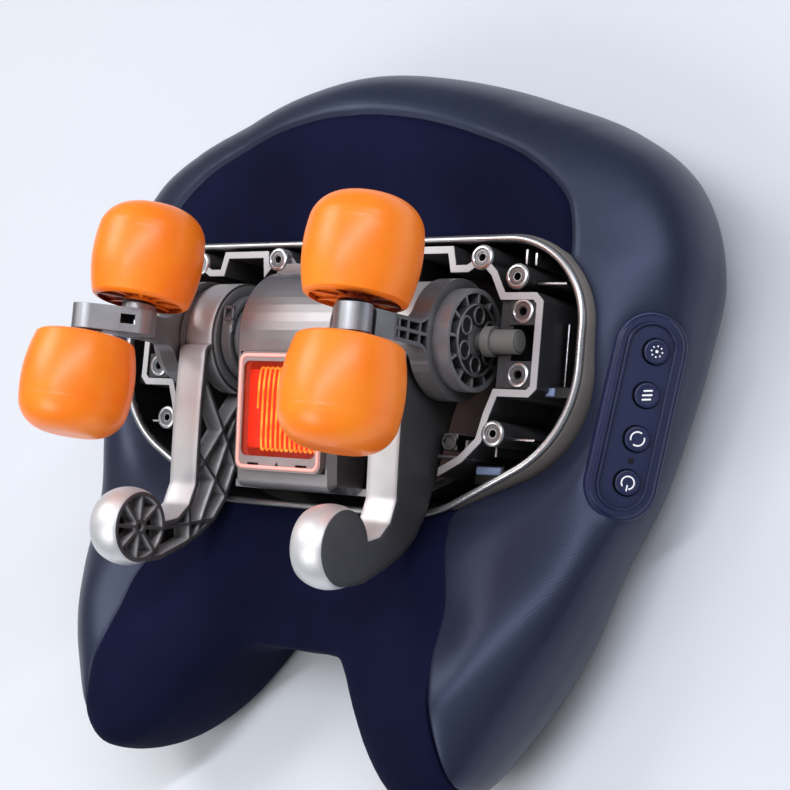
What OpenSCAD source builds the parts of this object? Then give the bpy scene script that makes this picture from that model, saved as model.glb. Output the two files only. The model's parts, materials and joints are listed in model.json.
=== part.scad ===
// Electric massage pillow, millimetres.
// The pillow lies on its flat back: +Z is the side that faces the neck,
// +Y points to the crown and the two lobes point to -Y.
// The massage unit is drawn in its own upright frame, with its drive shaft
// along X, and place_unit() tilts it into the pillow's front.

/* [Pillow body] */
// Height of the outline's centre point above the middle of the part, along Y
outline_y = 9.5; // [6:0.5:14]
// Radius from the centre point to the crown
crown_r = 150; // [140:1:160]
// Radius from the centre point to the shoulders
shoulder_r = 172; // [160:1:180]
// Radius from the centre point to the sides
side_r = 152; // [146:1:160]
// Radius from the centre point to the lobe tips
lobe_r = 190; // [180:1:200]
// Radius from the centre point to the notch between the lobes
notch_r = 115; // [108:1:122]
// Height of the front in the middle above the massage unit's centre
front_over = 5; // [3:0.5:8]
// Extra rise of the front near the crown, at the length below
crown_swell = 17; // [8:0.5:22]
// Distance from the unit to where the crown begins to swell
swell_start = 60; // [50:1:70]
// Length over which the crown swells
swell_len = 50; // [40:1:60]
// Extra rise of the front towards the notch
chin_rise = 15; // [8:1:20]
// Distance from the unit to where the chin begins to rise
chin_start = 50; // [40:1:60]
// Length over which the chin rises
chin_len = 50; // [40:1:60]
// Extra rise of each lobe's crest
crest_rise = 31; // [20:1:36]
// Distance from the middle to a lobe's crest
crest_half = 95; // [85:1:105]
// Distance from the unit to where the crests begin to rise
crest_start = 42; // [36:1:50]
// Length over which the crests rise
crest_len = 60; // [50:1:70]
// Height at which the side wall is widest
belly_z = 31; // [26:1:36]
// Height at which a lobe's tip is widest
tip_belly_z = 50; // [40:1:54]
// How far the back edge is set in from the widest outline
back_inset = 26; // [16:1:32]
// How far the back edge is set in at the lobe tips
tip_inset = 42; // [30:1:48]
// Thickness of the cover fabric with its lining
cover_t = 3; // [2:0.5:4]

/* [Massage unit placement] */
// Tilt of the unit and of the front towards the lobes
unit_tilt = 13; // [10:0.5:16]
// Place of the unit's centre along Y
unit_y = 3.5; // [0:0.5:8]
// Height of the unit's centre above the back
unit_z = 58; // [56:0.5:64]

/* [Tray] */
// Half width of the tray's mouth
tray_half_w = 123; // [118:1:126]
// Top edge of the tray's mouth above the unit's centre
tray_top = 66; // [62:1:70]
// Bottom edge of the tray's mouth below the unit's centre
tray_bottom = 51; // [50:1:56]
// Height of the mouth's lip in the unit's frame
lip_z = 6; // [3:0.5:9]
// Depth of the tray's floor below the unit's centre
tray_floor = 38; // [36:0.5:42]
// Wall thickness of the tray
tray_wall = 2.5; // [2:0.1:3.5]
// Width of the bright lip trim
trim_w = 3.2; // [2.5:0.1:4]
// Height of the bright lip trim
trim_h = 2; // [1.5:0.1:3]

/* [Gear case] */
// Thickness of the gear case's walls
case_wall = 3; // [2.4:0.1:4]
// Thickness of the gear case's floor
case_floor_t = 2.5; // [2:0.1:3.5]
// Radius of the screw bosses
boss_r = 5.2; // [4.5:0.1:6]
// Radius of the screw holes
screw_hole_r = 1.6; // [1.3:0.1:2]
// Radius of the rounded motor cover about the shaft
cover_r = 29; // [27.5:0.5:30]
// Half width of the motor cover
cover_half_w = 27; // [26:0.5:30]
// Lower end of the motor cover below the unit's centre
cover_low = 44; // [42:0.5:46]
// Wall thickness of the motor cover
cover_wall = 2.5; // [2:0.1:3]

/* [Drive] */
// Shaft axis above the unit's centre
shaft_y = 22; // [20:0.5:24]
// Shaft axis in front of the unit's centre
shaft_z = 10; // [8:0.5:12]
// Radius of the drive shaft
shaft_r = 4; // [3.5:0.1:5]
// Half length of the drive shaft
shaft_half = 98; // [96:0.5:100]
// Radial clearance of every running fit
fit_gap = 0.05; // [0.03:0.01:0.08]
// Offset of each arm's journal from the shaft
throw = 3; // [2:0.1:3.4]
// Radius of the journals that carry the arms
journal_r = 21; // [18:0.5:21.5]
// Module of the worm and wheel
gear_module = 1; // [1:0.1:1]
// Teeth on the worm wheel
wheel_teeth = 40; // [40:1:40]
// Width of the worm wheel
wheel_w = 9; // [7:0.5:11]
// Pitch radius of the worm
worm_pitch_r = 6; // [6:0.5:6]
// Radius of the motor can
motor_r = 13.5; // [12:0.5:14]
// Length of the motor can
motor_len = 36; // [32:1:40]

/* [Arms] */
// Inner side of the thumb arms from the middle
thumb_x = 46; // [45:0.5:47]
// Width of the thumb arms
thumb_w = 15; // [14:0.5:15.5]
// Inner side of the roller arms from the middle
roller_arm_x = 63; // [62.5:0.5:65]
// Width of the roller arms
roller_arm_w = 9; // [8:0.5:10]
// Wall thickness of the arms' rings
ring_wall = 4; // [3:0.5:4.5]
// Radius of the thumb ball
ball_r = 16.5; // [15:0.5:18]
// Ball centre below the unit's centre
ball_drop = 65; // [62:0.5:68]
// Ball centre in front of the unit's centre
ball_z = 64; // [60:0.5:68]

/* [Rollers] */
// Largest radius of the massage rollers
roller_r = 23.5; // [22:0.5:24]
// Length of the massage rollers
roller_len = 42; // [38:0.5:43]
// Wall thickness of the rollers
roller_wall = 3; // [2.5:0.1:4]
// Radius of the roller axles
axle_r = 3; // [2.5:0.1:3.5]
// Lean of each roller's axis away from the carrier's square
roller_lean = 6.5; // [5:0.5:8]
// Distance of the upper axle from the middle
upper_x = 57; // [56:0.5:58]
// Upper axle in front of the unit's centre, at the carrier
upper_z = 67; // [66:0.5:69]
// Distance of the lower axle from the middle
lower_x = 69.5; // [69:0.5:71]
// Lower axle in front of the unit's centre, at the carrier
lower_z = 83; // [82:0.5:85]
// Lower side of the carrier above the unit's centre
carrier_y = 15.5; // [14.5:0.5:16.5]
// Height of the carrier
carrier_h = 10.5; // [9.5:0.5:11.5]
// Gap between a roller and the carrier
roller_gap = 1.2; // [0.8:0.1:2]

/* [Heater] */
// Width of the heater's frame
heater_w = 46; // [42:1:48]
// Height of the heater's frame
heater_h = 50; // [46:1:52]
// Bars of the heater's frame
heater_bar = 3; // [2.5:0.5:4]
// Loops in the heating coil
coil_loops = 12; // [6:1:12]
// Wire radius of the heating coil
wire_r = 0.45; // [0.4:0.05:0.6]

/* [Control panel] */
// Length of the control panel
panel_len = 79; // [74:1:84]
// Width of the control panel
panel_w = 24; // [22:0.5:28]
// Thickness of the control panel
panel_t = 3; // [2.5:0.1:4]
// Radius of the buttons
button_r = 5; // [4.5:0.1:5.5]
// Spacing of the buttons
button_pitch = 17.4; // [16:0.1:18.5]
// Travel of the buttons
button_travel = 1; // [0.5:0.1:1.2]
// Gap round each button
button_gap = 0.4; // [0.3:0.05:0.6]

/* [Hidden] */
$fn = 48;
half_steps = 28;
around = 2 * half_steps;

// Half of the outline, as angle and radius from the notch to the crown
outline_knots = [
    [-90, notch_r], [-83, 1.009 * notch_r], [-77, 1.052 * notch_r], [-74, 1.165 * notch_r],
    [-72, 1.304 * notch_r], [-70, 0.874 * lobe_r], [-67, 0.958 * lobe_r], [-63, lobe_r],
    [-58, 0.984 * lobe_r], [-52, 0.937 * lobe_r], [-45, 0.889 * lobe_r], [-38, 1.059 * side_r],
    [-25, 0.987 * side_r], [-12, 0.987 * side_r], [0, side_r], [12, 1.046 * side_r],
    [22, 0.977 * shoulder_r], [35, shoulder_r], [46, 0.965 * shoulder_r],
    [59, 1.047 * crown_r], [75, 1.007 * crown_r], [90, crown_r]
];
// Share of the outline that the navy front covers, by angle
seam_shares = [
    [-90, 1.2], [-61, 1.2], [-58.7, 0.97], [-57, 0.88], [-54, 0.79], [-49, 0.727], [-45, 0.6],
    [-40, 0.545], [0, 0.62], [15, 0.69], [24, 0.72], [34, 0.757], [46, 0.762], [57, 0.757], [90, 0.732]
];
// Roundness of the front edge along the radius and in height, by angle
edge_powers = [[-90, 2.6], [-62, 3.2], [-25, 3.6], [15, 3.6], [45, 4.4], [90, 4.4]];
edge_drops = [[-90, 2.6], [-62, 3.2], [-25, 3.6], [15, 3.6], [45, 1.25], [90, 1.25]];
// Height of the widest outline and inset of the back edge, by angle
belly_heights = [
    [-90, 1.29 * belly_z], [-75, 1.42 * belly_z], [-63, tip_belly_z], [-50, 1.23 * belly_z],
    [-38, 1.1 * belly_z], [0, belly_z], [90, 0.97 * belly_z]
];
back_insets = [
    [-90, 0.85 * back_inset], [-83, back_inset], [-74, 1.23 * back_inset], [-66, tip_inset],
    [-57, tip_inset], [-40, back_inset], [90, back_inset]
];
// Angles of the skin's rings, below and above the widest outline
lower_steps = [35, 65];
upper_steps = [15, 32, 48, 61, 72, 81];

ring_r = journal_r + ring_wall;
worm_z = shaft_z - gear_module * wheel_teeth / 2 - worm_pitch_r;
case_floor_z = -tray_floor + tray_wall;
panel_turn = [11, 38, 0];

// Pillow outline

// Same angle on the right half, from -90 at the notch to 90 at the crown
function fold(a) =
    let (b = a > 180 ? a - 360 : a)
    b > 90 ? 180 - b : b < -90 ? -180 - b : b;

function knot_at(i) =
    let (last = len(outline_knots) - 1)
    i < 0 ? [-180 - outline_knots[-i][0], outline_knots[-i][1]]
    : i > last ? [180 - outline_knots[2 * last - i][0], outline_knots[2 * last - i][1]]
    : outline_knots[i];

function knot_slope(i) =
    (knot_at(i + 1)[1] - knot_at(i - 1)[1]) / (knot_at(i + 1)[0] - knot_at(i - 1)[0]);

// Radius at an angle, a smooth curve through the knots
function outline_r(a) =
    let (
        b = fold(a),
        i = max([for (j = [0:len(outline_knots) - 2]) outline_knots[j][0] <= b ? j : 0]),
        p = knot_at(i), q = knot_at(i + 1), w = q[0] - p[0], t = (b - p[0]) / w
    )
    p[1] * (1 + 2 * t) * pow(1 - t, 2) + q[1] * (3 - 2 * t) * t * t
        + w * t * (1 - t) * ((1 - t) * knot_slope(i) - t * knot_slope(i + 1));

function ramp(v) = let (c = max(0, min(1, v))) c * c * (3 - 2 * c);

// Ring angles, closer together at the notch and the lobes than at the crown
function ring_angle(i) =
    let (j = i <= half_steps ? i : around - i, a = -90 + 180 * pow(j / half_steps, 1.45))
    i <= half_steps ? a : 180 - a;

// Inset along the radius that gives a wall of even thickness
function radial(a, inset) =
    let (slope = (outline_r(a + 1) - outline_r(a - 1)) / (2 * outline_r(a) * PI / 180))
    inset * min(2.5, sqrt(1 + slope * slope));

// Height of the front, before the edge is rounded off
function front_z(x, y) =
    let (t = y - unit_y)
    unit_z + front_over + t * tan(unit_tilt)
        + crown_swell * pow(max(0, t - swell_start) / swell_len, 2)
        + chin_rise * ramp((-t - chin_start) / chin_len)
        + crest_rise * ramp(abs(x) / crest_half) * ramp((-t - crest_start) / crest_len);

function upper_point(a, f, inset) =
    let (
        spread = 2 / lookup(fold(a), edge_powers),
        drop = 2 / lookup(fold(a), edge_drops),
        r = (outline_r(a) - radial(a, inset)) * pow(cos(f), spread),
        x = r * cos(a),
        y = outline_y + r * sin(a),
        low = lookup(fold(a), belly_heights),
        top = front_z(x, y) - inset
    )
    [x, y, low + (top - low) * pow(sin(f), drop)];

function lower_point(a, f, inset) =
    let (
        low = lookup(fold(a), belly_heights),
        back = lookup(fold(a), back_insets) - radial(a, inset),
        r = outline_r(a) - radial(a, inset) - back * (1 - sin(f))
    )
    [r * cos(a), outline_y + r * sin(a), inset + (low - inset) * (1 - cos(f))];

// Point of the back edge, carried on down along the wall's slope by sink
function back_point(a, inset, sink) =
    let (p = lower_point(a, 0, inset), q = lower_point(a, lower_steps[0], inset))
    p - (q - p) * sink / (q[2] - p[2]);

// Closed skin of the pillow, inset from the outside
module pillow_skin(inset = 0, sink = 0) {
    turns = [for (i = [0:around - 1]) ring_angle(i)];
    lower = concat(
        [[for (a = turns) back_point(a, inset, sink)]],
        [for (f = lower_steps) [for (a = turns) lower_point(a, f, inset)]]
    );
    belt = [[for (a = turns) upper_point(a, 0, inset)]];
    upper = [for (f = upper_steps) [for (a = turns) upper_point(a, f, inset)]];
    rings = concat(lower, belt, upper);
    count = len(rings);
    top_point = [0, outline_y, front_z(0, outline_y) - inset];
    sides = [
        for (k = [0:count - 2], i = [0:around - 1])
        let (
            a = k * around + i, b = k * around + (i + 1) % around,
            c = a + around, d = b + around
        )
        each [[a, d, b], [a, c, d]]
    ];
    crown = [
        for (i = [0:around - 1])
        [(count - 1) * around + i, count * around, (count - 1) * around + (i + 1) % around]
    ];
    back = [[for (i = [0:around - 1]) i]];
    polyhedron(concat([for (ring = rings) each ring], [top_point]), concat(back, sides, crown), convexity = 6);
}

module seam_area() {
    steps = 100;
    polygon([
        for (i = [0:steps - 1])
        let (a = (i + 0.5) * 360 / steps, r = outline_r(a) * lookup(fold(a), seam_shares))
        [r * cos(a), outline_y + r * sin(a)]
    ]);
}

module seam_block() {
    translate([0, 0, cover_t + 0.5]) linear_extrude(beyond) seam_area();
}

// Frames

module place_unit() {
    translate([0, unit_y, unit_z]) rotate([unit_tilt, 0, 0]) children();
}

// Local z runs along the unit's X, local x along its Y and local y along its Z
module along_x(x0 = 0) {
    translate([x0, 0, 0]) rotate([90, 0, 90]) children();
}

module on_shaft(x0, offset = 0) {
    translate([x0, shaft_y, shaft_z + offset]) rotate([0, 90, 0]) children();
}

// The panel's underside lies a little below the side wall's skin
panel_angle = -3.45;
panel_rise = 25;
panel_sunk = 2.2;

module place_panel() {
    translate(upper_point(panel_angle, panel_rise, 0)) rotate(panel_turn) translate([0, 0, -panel_sunk])
        children();
}

module side(right) {
    if (right) children();
    else mirror([1, 0, 0]) children();
}

// Tray

corner_r = 37;
flank_r = 50;
flank_y = 14;
base_r = 50;

module tray_outline(grow = 0) {
    hull() for (s = [-1, 1]) {
        translate([s * (tray_half_w - corner_r), tray_top - corner_r]) circle(corner_r + grow);
        translate([s * (tray_half_w - flank_r), flank_y]) circle(flank_r + grow);
        translate([s * 46, base_r - tray_bottom]) circle(base_r + grow);
    }
}

module tray_space(grow = 0) {
    place_unit() translate([0, 0, -tray_floor - grow])
        linear_extrude(tray_floor + 80) tray_outline(grow);
}

module tray() {
    color("dimgray") place_unit() difference() {
        translate([0, 0, -tray_floor]) linear_extrude(tray_floor + lip_z - trim_h) tray_outline(0);
        translate([0, 0, case_floor_z]) linear_extrude(100) tray_outline(-tray_wall);
        for (s = [-1, 1]) {
            for (p = case_fixings) translate([s * p[0], p[1], -60]) cylinder(h = 40, r = screw_hole_r);
            translate([s * 84 - 6, -33, -50]) cube([12, 4, 20]);
            translate([s * 108 - 2, 4, -50]) cube([4, 20, 20]);
        }
    }
}

module rim_trim() {
    color("gainsboro") place_unit() translate([0, 0, lip_z - trim_h]) difference() {
        linear_extrude(trim_h) tray_outline();
        translate([0, 0, -1]) linear_extrude(trim_h + 2) tray_outline(-trim_w);
    }
}

// Gear case: a thin walled casting, open at the shaft plane

case_edge = [
    [0, 53], [20, 53], [23, 56.5], [34, 56.5], [37, 53], [38, 60], [61, 60], [63, 52],
    [70, 52], [76.6, 56], [83, 50], [88, 40.5], [103, 40.5], [105.5, 38], [105.5, 4],
    [103, 1.5], [88, 1.5], [84.5, -8], [82, -18], [74, -26], [60, -34], [42, -42.5], [0, -42.5]
];

module case_area(grow = 0) {
    offset(delta = grow) union() {
        polygon(case_edge);
        mirror([1, 0]) polygon(case_edge);
    }
}

case_bosses = [[76.6, 56.5], [94, 48.5], [88.5, -15], [28.2, 57]];
pocket_bosses = [[97.5, 34.5], [97.5, 9]];
case_fixings = [[52, 44], [34, -30]];
bearing_r = 8;
bearing_w = 5;
bearing_x = 23;

module gear_case() {
    color("silver") place_unit() difference() {
        union() {
            translate([0, 0, case_floor_z]) linear_extrude(case_floor_t) case_area(case_wall / 2);
            translate([0, 0, case_floor_z]) linear_extrude(shaft_z - case_floor_z) difference() {
                case_area(case_wall / 2);
                case_area(-case_wall / 2);
            }
            // Cradle under the motor
            for (y = [-12, -32]) translate([-motor_r - 3, y - 1.5, case_floor_z])
                cube([2 * motor_r + 6, 3, worm_z - case_floor_z]);
            for (s = [-1, 1]) {
                for (p = case_bosses) translate([s * p[0], p[1], case_floor_z])
                    cylinder(h = shaft_z - case_floor_z - 0.2, r = boss_r);
                for (p = pocket_bosses) translate([s * p[0] - 6, p[1] - 5.5, case_floor_z])
                    cube([12, 11, shaft_z - case_floor_z - 1]);
                // Web under each inner bearing
                translate([s * (bearing_x + bearing_w / 2) - 1.5, 4, case_floor_z])
                    cube([3, 36, shaft_z - case_floor_z]);
                // Saddle web that carries the shaft bush
                translate([s * 90 - 3, 3, case_floor_z]) cube([6, 36, shaft_z - case_floor_z - 2]);
                // Web that ties the upper outer boss to the bearing pocket
                translate([s * 94 - 1.2, 40, case_floor_z]) cube([2.4, 6, shaft_z - case_floor_z - 4]);
            }
        }
        translate([0, 0, worm_z]) rotate([90, 0, 0]) cylinder(h = 80, r = motor_r);
        for (s = [-1, 1]) {
            for (p = case_bosses) translate([s * p[0], p[1], shaft_z - 14])
                cylinder(h = 20, r = screw_hole_r);
            for (p = pocket_bosses) translate([s * p[0], p[1], shaft_z - 12])
                cylinder(h = 20, r = screw_hole_r);
            for (p = case_fixings) translate([s * p[0], p[1], -60]) cylinder(h = 40, r = screw_hole_r);
            on_shaft(s * 90 - 10) cylinder(h = 20, r = bush_r);
            on_shaft(s * bearing_x - 10) cylinder(h = 20, r = bearing_r);
            // Way out for the thumb arm
            translate([s * (thumb_x + thumb_w / 2) - thumb_w / 2 - 3, -60, -5]) cube([thumb_w + 6, 45, 40]);
        }
    }
}

// Motor cover with its window

module cover_profile(inset = 0) {
    hull() {
        translate([shaft_y, shaft_z]) circle(cover_r - inset);
        translate([-cover_low + 4, 27]) circle(4 - min(inset, 3));
        translate([-cover_low + inset, -8]) square([20, 8]);
        translate([shaft_y + cover_r - 24 - inset, -8]) square([20, 8]);
    }
}

window_y = -12;
window_z = 35.6;
window_lean = 4.6;

module on_window() {
    translate([0, window_y, window_z]) rotate([window_lean, 0, 0]) children();
}

module rounded_plate(w, h, r, t) {
    linear_extrude(t) hull() for (sx = [-1, 1], sy = [-1, 1])
        translate([sx * (w / 2 - r), sy * (h / 2 - r)]) circle(r);
}

module motor_cover() {
    color("silver") place_unit() difference() {
        union() {
            hull() {
                along_x(-cover_half_w) linear_extrude(2 * cover_half_w) cover_profile(3);
                along_x(-cover_half_w + 3) linear_extrude(2 * cover_half_w - 6) cover_profile(0);
            }
            for (s = [-1, 1]) translate([s * 28.2, 57, shaft_z]) cylinder(h = 3, r = boss_r);
            translate([-28.2, 46, shaft_z]) cube([56.4, 9, 3]);
        }
        along_x(-cover_half_w + cover_wall) linear_extrude(2 * cover_half_w - 2 * cover_wall)
            cover_profile(cover_wall);
        translate([-60, -60, -60]) cube([120, 130, 60 + shaft_z]);
        on_window() translate([-heater_w / 2, -heater_h / 2, -8]) cube([heater_w, heater_h, 16]);
        on_shaft(-40) cylinder(h = 80, r = bearing_r);
        for (s = [-1, 1]) translate([s * 28.2, 57, 0]) cylinder(h = 30, r = screw_hole_r);
    }
}

module heater_frame() {
    color("mistyrose") place_unit() on_window() difference() {
        translate([0, 0, -frame_back]) rounded_plate(heater_w, heater_h, 4, frame_back + 1.4);
        translate([0, 1, -5]) rounded_plate(heater_w - 2 * heater_bar, heater_h - 2 * heater_bar - 4, 3, 10);
        for (s = [-1, 1]) translate([s * 13 - 3, -heater_h / 2 + 1.6, -5]) cube([6, 1.6, 10]);
    }
}

module heater_window() {
    color([1, 0.25, 0.15, 0.6]) place_unit() on_window() translate([0, 1, -0.4])
        rounded_plate(heater_w - 2 * heater_bar, heater_h - 2 * heater_bar - 4, 3, 1.2);
}

// One flattened winding: the wire goes up the front of the card and down its back
coil_pitch = 2.6;
coil_half_h = 17.5;
coil_half_d = 1.9;
coil_steps = 20;
coil_sides = 6;
coil_z = -5.4;
card_t = 1;
frame_back = 3;

function coil_centre(t) =
    let (a = 360 * t, n = 3)
    [
        (t - coil_loops / 2) * coil_pitch,
        coil_half_h * sign(sin(a)) * pow(abs(sin(a)), 2 / n),
        coil_half_d * sign(cos(a)) * pow(abs(cos(a)), 2 / n)
    ];

function unit(v) = v / norm(v);

coil_points = [for (k = [0:coil_loops * coil_steps]) coil_centre(k / coil_steps)];

// Least distance between two loops' wires, measured on the winding's own points
coil_gap = min([
    for (i = [0:len(coil_points) - 7], j = [i + 6:len(coil_points) - 1])
    norm(coil_points[i] - coil_points[j])
]) - 2 * wire_r;
echo(str("least gap of the heating coil to itself, mm: ", coil_gap));

function coil_tangent(k) =
    unit(coil_points[min(k + 1, len(coil_points) - 1)] - coil_points[max(k - 1, 0)]);

module wire(points, r, sides) {
    last = len(points) - 1;
    skin = [
        for (k = [0:last])
        let (t = coil_tangent(k), u = unit(cross(t, [1, 0, 0])), v = cross(t, u))
        for (i = [0:sides - 1])
        points[k] + r * (cos(i * 360 / sides) * u + sin(i * 360 / sides) * v)
    ];
    walls = [
        for (k = [0:last - 1], i = [0:sides - 1])
        let (a = k * sides + i, b = k * sides + (i + 1) % sides)
        each [[a, a + sides, b + sides], [a, b + sides, b]]
    ];
    start = [[for (i = [0:sides - 1]) i]];
    end = [[for (i = [sides - 1:-1:0]) last * sides + i]];
    polyhedron(skin, concat(start, walls, end), convexity = 8);
}

module heating_coil() {
    color("orangered") place_unit() on_window() translate([0, 1, coil_z]) wire(coil_points, wire_r, coil_sides);
}

// Mica card inside the winding, carried by two ledges behind the frame's sides
module coil_card() {
    color("tan") place_unit() on_window() translate([0, 1, coil_z]) {
        half_w = heater_w / 2 - 1;
        half_h = coil_half_h - wire_r - 0.4;
        translate([-half_w, -half_h, -card_t / 2]) cube([2 * half_w, 2 * half_h, card_t]);
        for (s = [-1, 1]) translate([s * (half_w - 1) - 1, -half_h + 2, 0])
            cube([2, 2 * half_h - 4, -frame_back - coil_z]);
    }
}

// Drive

module motor_can() {
    color("dimgray") place_unit() translate([0, motor_front, worm_z]) rotate([90, 0, 0]) {
        difference() {
            union() {
                cylinder(h = motor_len, r = motor_r);
                translate([0, 0, -motor_boss]) cylinder(h = 2 * motor_boss, r = 5);
            }
            translate([0, 0, -motor_boss - 1]) cylinder(h = spindle_bore + 1, r = worm_spindle_r + fit_gap);
        }
    }
}

motor_front = -4;
motor_boss = 1.5;
spindle_bore = 7;
worm_low = motor_front + motor_boss - spindle_bore + 0.5;
worm_high = 46;
worm_spindle_r = 2.5;
worm_root_r = worm_pitch_r - 1.25 * gear_module;
worm_tip_r = worm_pitch_r + 0.75 * gear_module;
thread_pitch = PI * gear_module;
thread_turns = 6;
thread_steps = 16;

// Helical thread about local z; an even count of turns leaves a groove for the wheel's middle tooth
module worm_thread() {
    section = [[worm_root_r - 0.4, -0.85], [worm_tip_r, -0.35], [worm_tip_r, 0.35], [worm_root_r - 0.4, 0.85]];
    last = thread_turns * thread_steps;
    skin = [
        for (k = [0:last])
        let (a = 360 * k / thread_steps, h = thread_pitch * (k / thread_steps - thread_turns / 2))
        for (c = section) [c[0] * sin(a), c[0] * cos(a), h + c[1]]
    ];
    walls = [
        for (k = [0:last - 1], i = [0:3])
        let (a = k * 4 + i, b = k * 4 + (i + 1) % 4)
        each [[a, b + 4, b], [a, a + 4, b + 4]]
    ];
    polyhedron(skin, concat([[0, 1, 2, 3]], walls, [[for (i = [3:-1:0]) last * 4 + i]]), convexity = 10);
}

module worm() {
    color("goldenrod") place_unit() translate([0, 0, worm_z]) rotate([-90, 0, 0]) {
        translate([0, 0, worm_low]) cylinder(h = worm_high - worm_low, r = worm_spindle_r);
        translate([0, 0, shaft_y - 13]) cylinder(h = 26, r = worm_root_r);
        translate([0, 0, shaft_y]) worm_thread();
    }
}

module worm_bush() {
    color("goldenrod") place_unit() translate([0, worm_high - 4, worm_z]) rotate([-90, 0, 0])
        difference() {
            translate([-5, -5, 0]) cube([10, 5 + worm_z - case_floor_z - case_floor_t, 4]);
            translate([0, 0, -1]) cylinder(h = 8, r = worm_spindle_r + fit_gap);
        }
}

module worm_wheel() {
    pitch_r = gear_module * wheel_teeth / 2;
    root_r = pitch_r - 1.25 * gear_module;
    tip_r = pitch_r + 0.75 * gear_module;
    step = 360 / wheel_teeth;
    color("ivory") place_unit() on_shaft(-wheel_w / 2) difference() {
        linear_extrude(wheel_w) polygon([
            for (i = [0:wheel_teeth - 1], c = [[-0.27, root_r], [-0.11, tip_r], [0.11, tip_r], [0.27, root_r]])
            let (a = (i + c[0]) * step) [c[1] * cos(a), c[1] * sin(a)]
        ]);
        translate([0, 0, -1]) cylinder(h = wheel_w + 2, r = shaft_r);
    }
}

module drive_shaft() {
    color("lightsteelblue") place_unit() on_shaft(-shaft_half) cylinder(h = 2 * shaft_half, r = shaft_r);
}

bush_r = 5;
bush_collar_r = 6.3;

module shaft_bush() {
    color("darkgray") place_unit() on_shaft(82.5) difference() {
        union() {
            cylinder(h = 4, r = bush_collar_r);
            cylinder(h = 15, r = bush_r);
        }
        translate([0, 0, -1]) cylinder(h = 20, r = shaft_r + fit_gap);
    }
}

// Eccentric hub: one journal for each arm, thrown to opposite sides

hub_x0 = 31;
hub_x1 = 79;
hub_neck_r = 16;
flange_w = 1.2;
flange_x = thumb_x - 0.3 - flange_w;

module hub() {
    color("gray") place_unit() difference() {
        union() {
            on_shaft(hub_x0) cylinder(h = flange_x - hub_x0 + 0.2, r = hub_neck_r);
            on_shaft(flange_x, -throw) cylinder(h = flange_w, r = journal_r + 3);
            on_shaft(thumb_x - 1, -throw) cylinder(h = thumb_w + 1.5, r = journal_r);
            on_shaft(thumb_x + thumb_w + 0.3)
                cylinder(h = roller_arm_x - thumb_x - thumb_w - 0.6, r = journal_r + 2);
            on_shaft(roller_arm_x - 1, throw) cylinder(h = hub_x1 - roller_arm_x + 1, r = journal_r);
        }
        on_shaft(hub_x0 - 1) cylinder(h = 60, r = shaft_r);
        // Recessed outer face with spokes and round cells
        on_shaft(hub_x1 - 4, throw) difference() {
            cylinder(h = 5, r = journal_r - 2);
            for (a = [0:30:330]) rotate([0, 0, a]) translate([8, -0.6, -1]) cube([12, 1.2, 7]);
            difference() {
                cylinder(h = 7, r = 14.2);
                for (a = [0:60:300]) rotate([0, 0, a]) translate([10, 0, -1]) cylinder(h = 9, r = 3.2);
            }
        }
    }
}

// Arms, drawn in side view: x is the unit's Y and y is its Z

module roller_arm_side(grow = 0) {
    offset(delta = grow) offset(r = -10) offset(delta = 10) union() {
        translate([shaft_y, shaft_z + throw]) circle(ring_r);
        translate([carrier_y, shaft_z]) square([carrier_h, 60 - shaft_z]);
    }
}

module roller_arm() {
    color("dimgray") place_unit() difference() {
        along_x(roller_arm_x) linear_extrude(roller_arm_w) roller_arm_side();
        // Open cells in the outer face, between the ribs
        along_x(roller_arm_x + 3) linear_extrude(roller_arm_w) difference() {
            roller_arm_side(-1.6);
            translate([shaft_y, shaft_z + throw]) circle(ring_r + 0.01);
            translate([carrier_y + carrier_h / 2 - 0.7, 20]) square([1.4, 50]);
            for (z = [42, 50, 56]) translate([0, z]) square([60, 1.4]);
        }
        on_shaft(roller_arm_x - 1, throw) cylinder(h = roller_arm_w + 2, r = journal_r + fit_gap);
    }
}

module thumb_arm_side(grow = 0) {
    offset(delta = grow) offset(r = 4) offset(delta = -4) union() {
        translate([shaft_y, shaft_z - throw]) circle(ring_r);
        polygon([
            [shaft_y - 6, shaft_z + ring_r], [-8, 35], [-30, 34], [-45, 33], [-54, 36], [-60, 42],
            [-62, 50], [-ball_drop, ball_z], [-80, 62], [-78, 50], [-72, 36], [-67, 27],
            [-60, 18], [-51, 12], [-40, 8], [-24, 3], [-8, -2], [shaft_y, shaft_z - ring_r]
        ]);
    }
}

module thumb_arm() {
    color("silver") place_unit() difference() {
        union() {
            along_x(thumb_x) linear_extrude(thumb_w) thumb_arm_side();
            intersection() {
                translate([thumb_x + thumb_w / 2, -ball_drop, ball_z]) sphere(ball_r);
                translate([thumb_x, -120, 0]) cube([thumb_w, 200, 200]);
            }
        }
        // Open inner side with triangular cells and a spoked ball
        along_x(thumb_x - 0.01) linear_extrude(9) difference() {
            thumb_arm_side(-2);
            translate([shaft_y, shaft_z - throw]) circle(ring_r);
            translate([-ball_drop, ball_z]) circle(ball_r - 2.2);
            for (p = [[-20, 18, 35], [-20, 18, -35], [-42, 20, 50], [-42, 20, -20], [-62, 34, 10], [-62, 34, 100]])
                translate([p[0], p[1]]) rotate(p[2]) square([60, 1.4], center = true);
        }
        along_x(thumb_x - 0.01) linear_extrude(7) translate([-ball_drop, ball_z]) difference() {
            circle(ball_r - 3.6);
            circle(3.4);
            for (a = [0:45:135]) rotate(a) square([40, 1.4], center = true);
        }
        along_x(thumb_x - 0.01) linear_extrude(5) translate([-ball_drop, ball_z]) circle(1.6);
        on_shaft(thumb_x - 1, -throw) cylinder(h = thumb_w + 2, r = journal_r + fit_gap);
    }
}

// Carrier between the two rollers of one side

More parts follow.
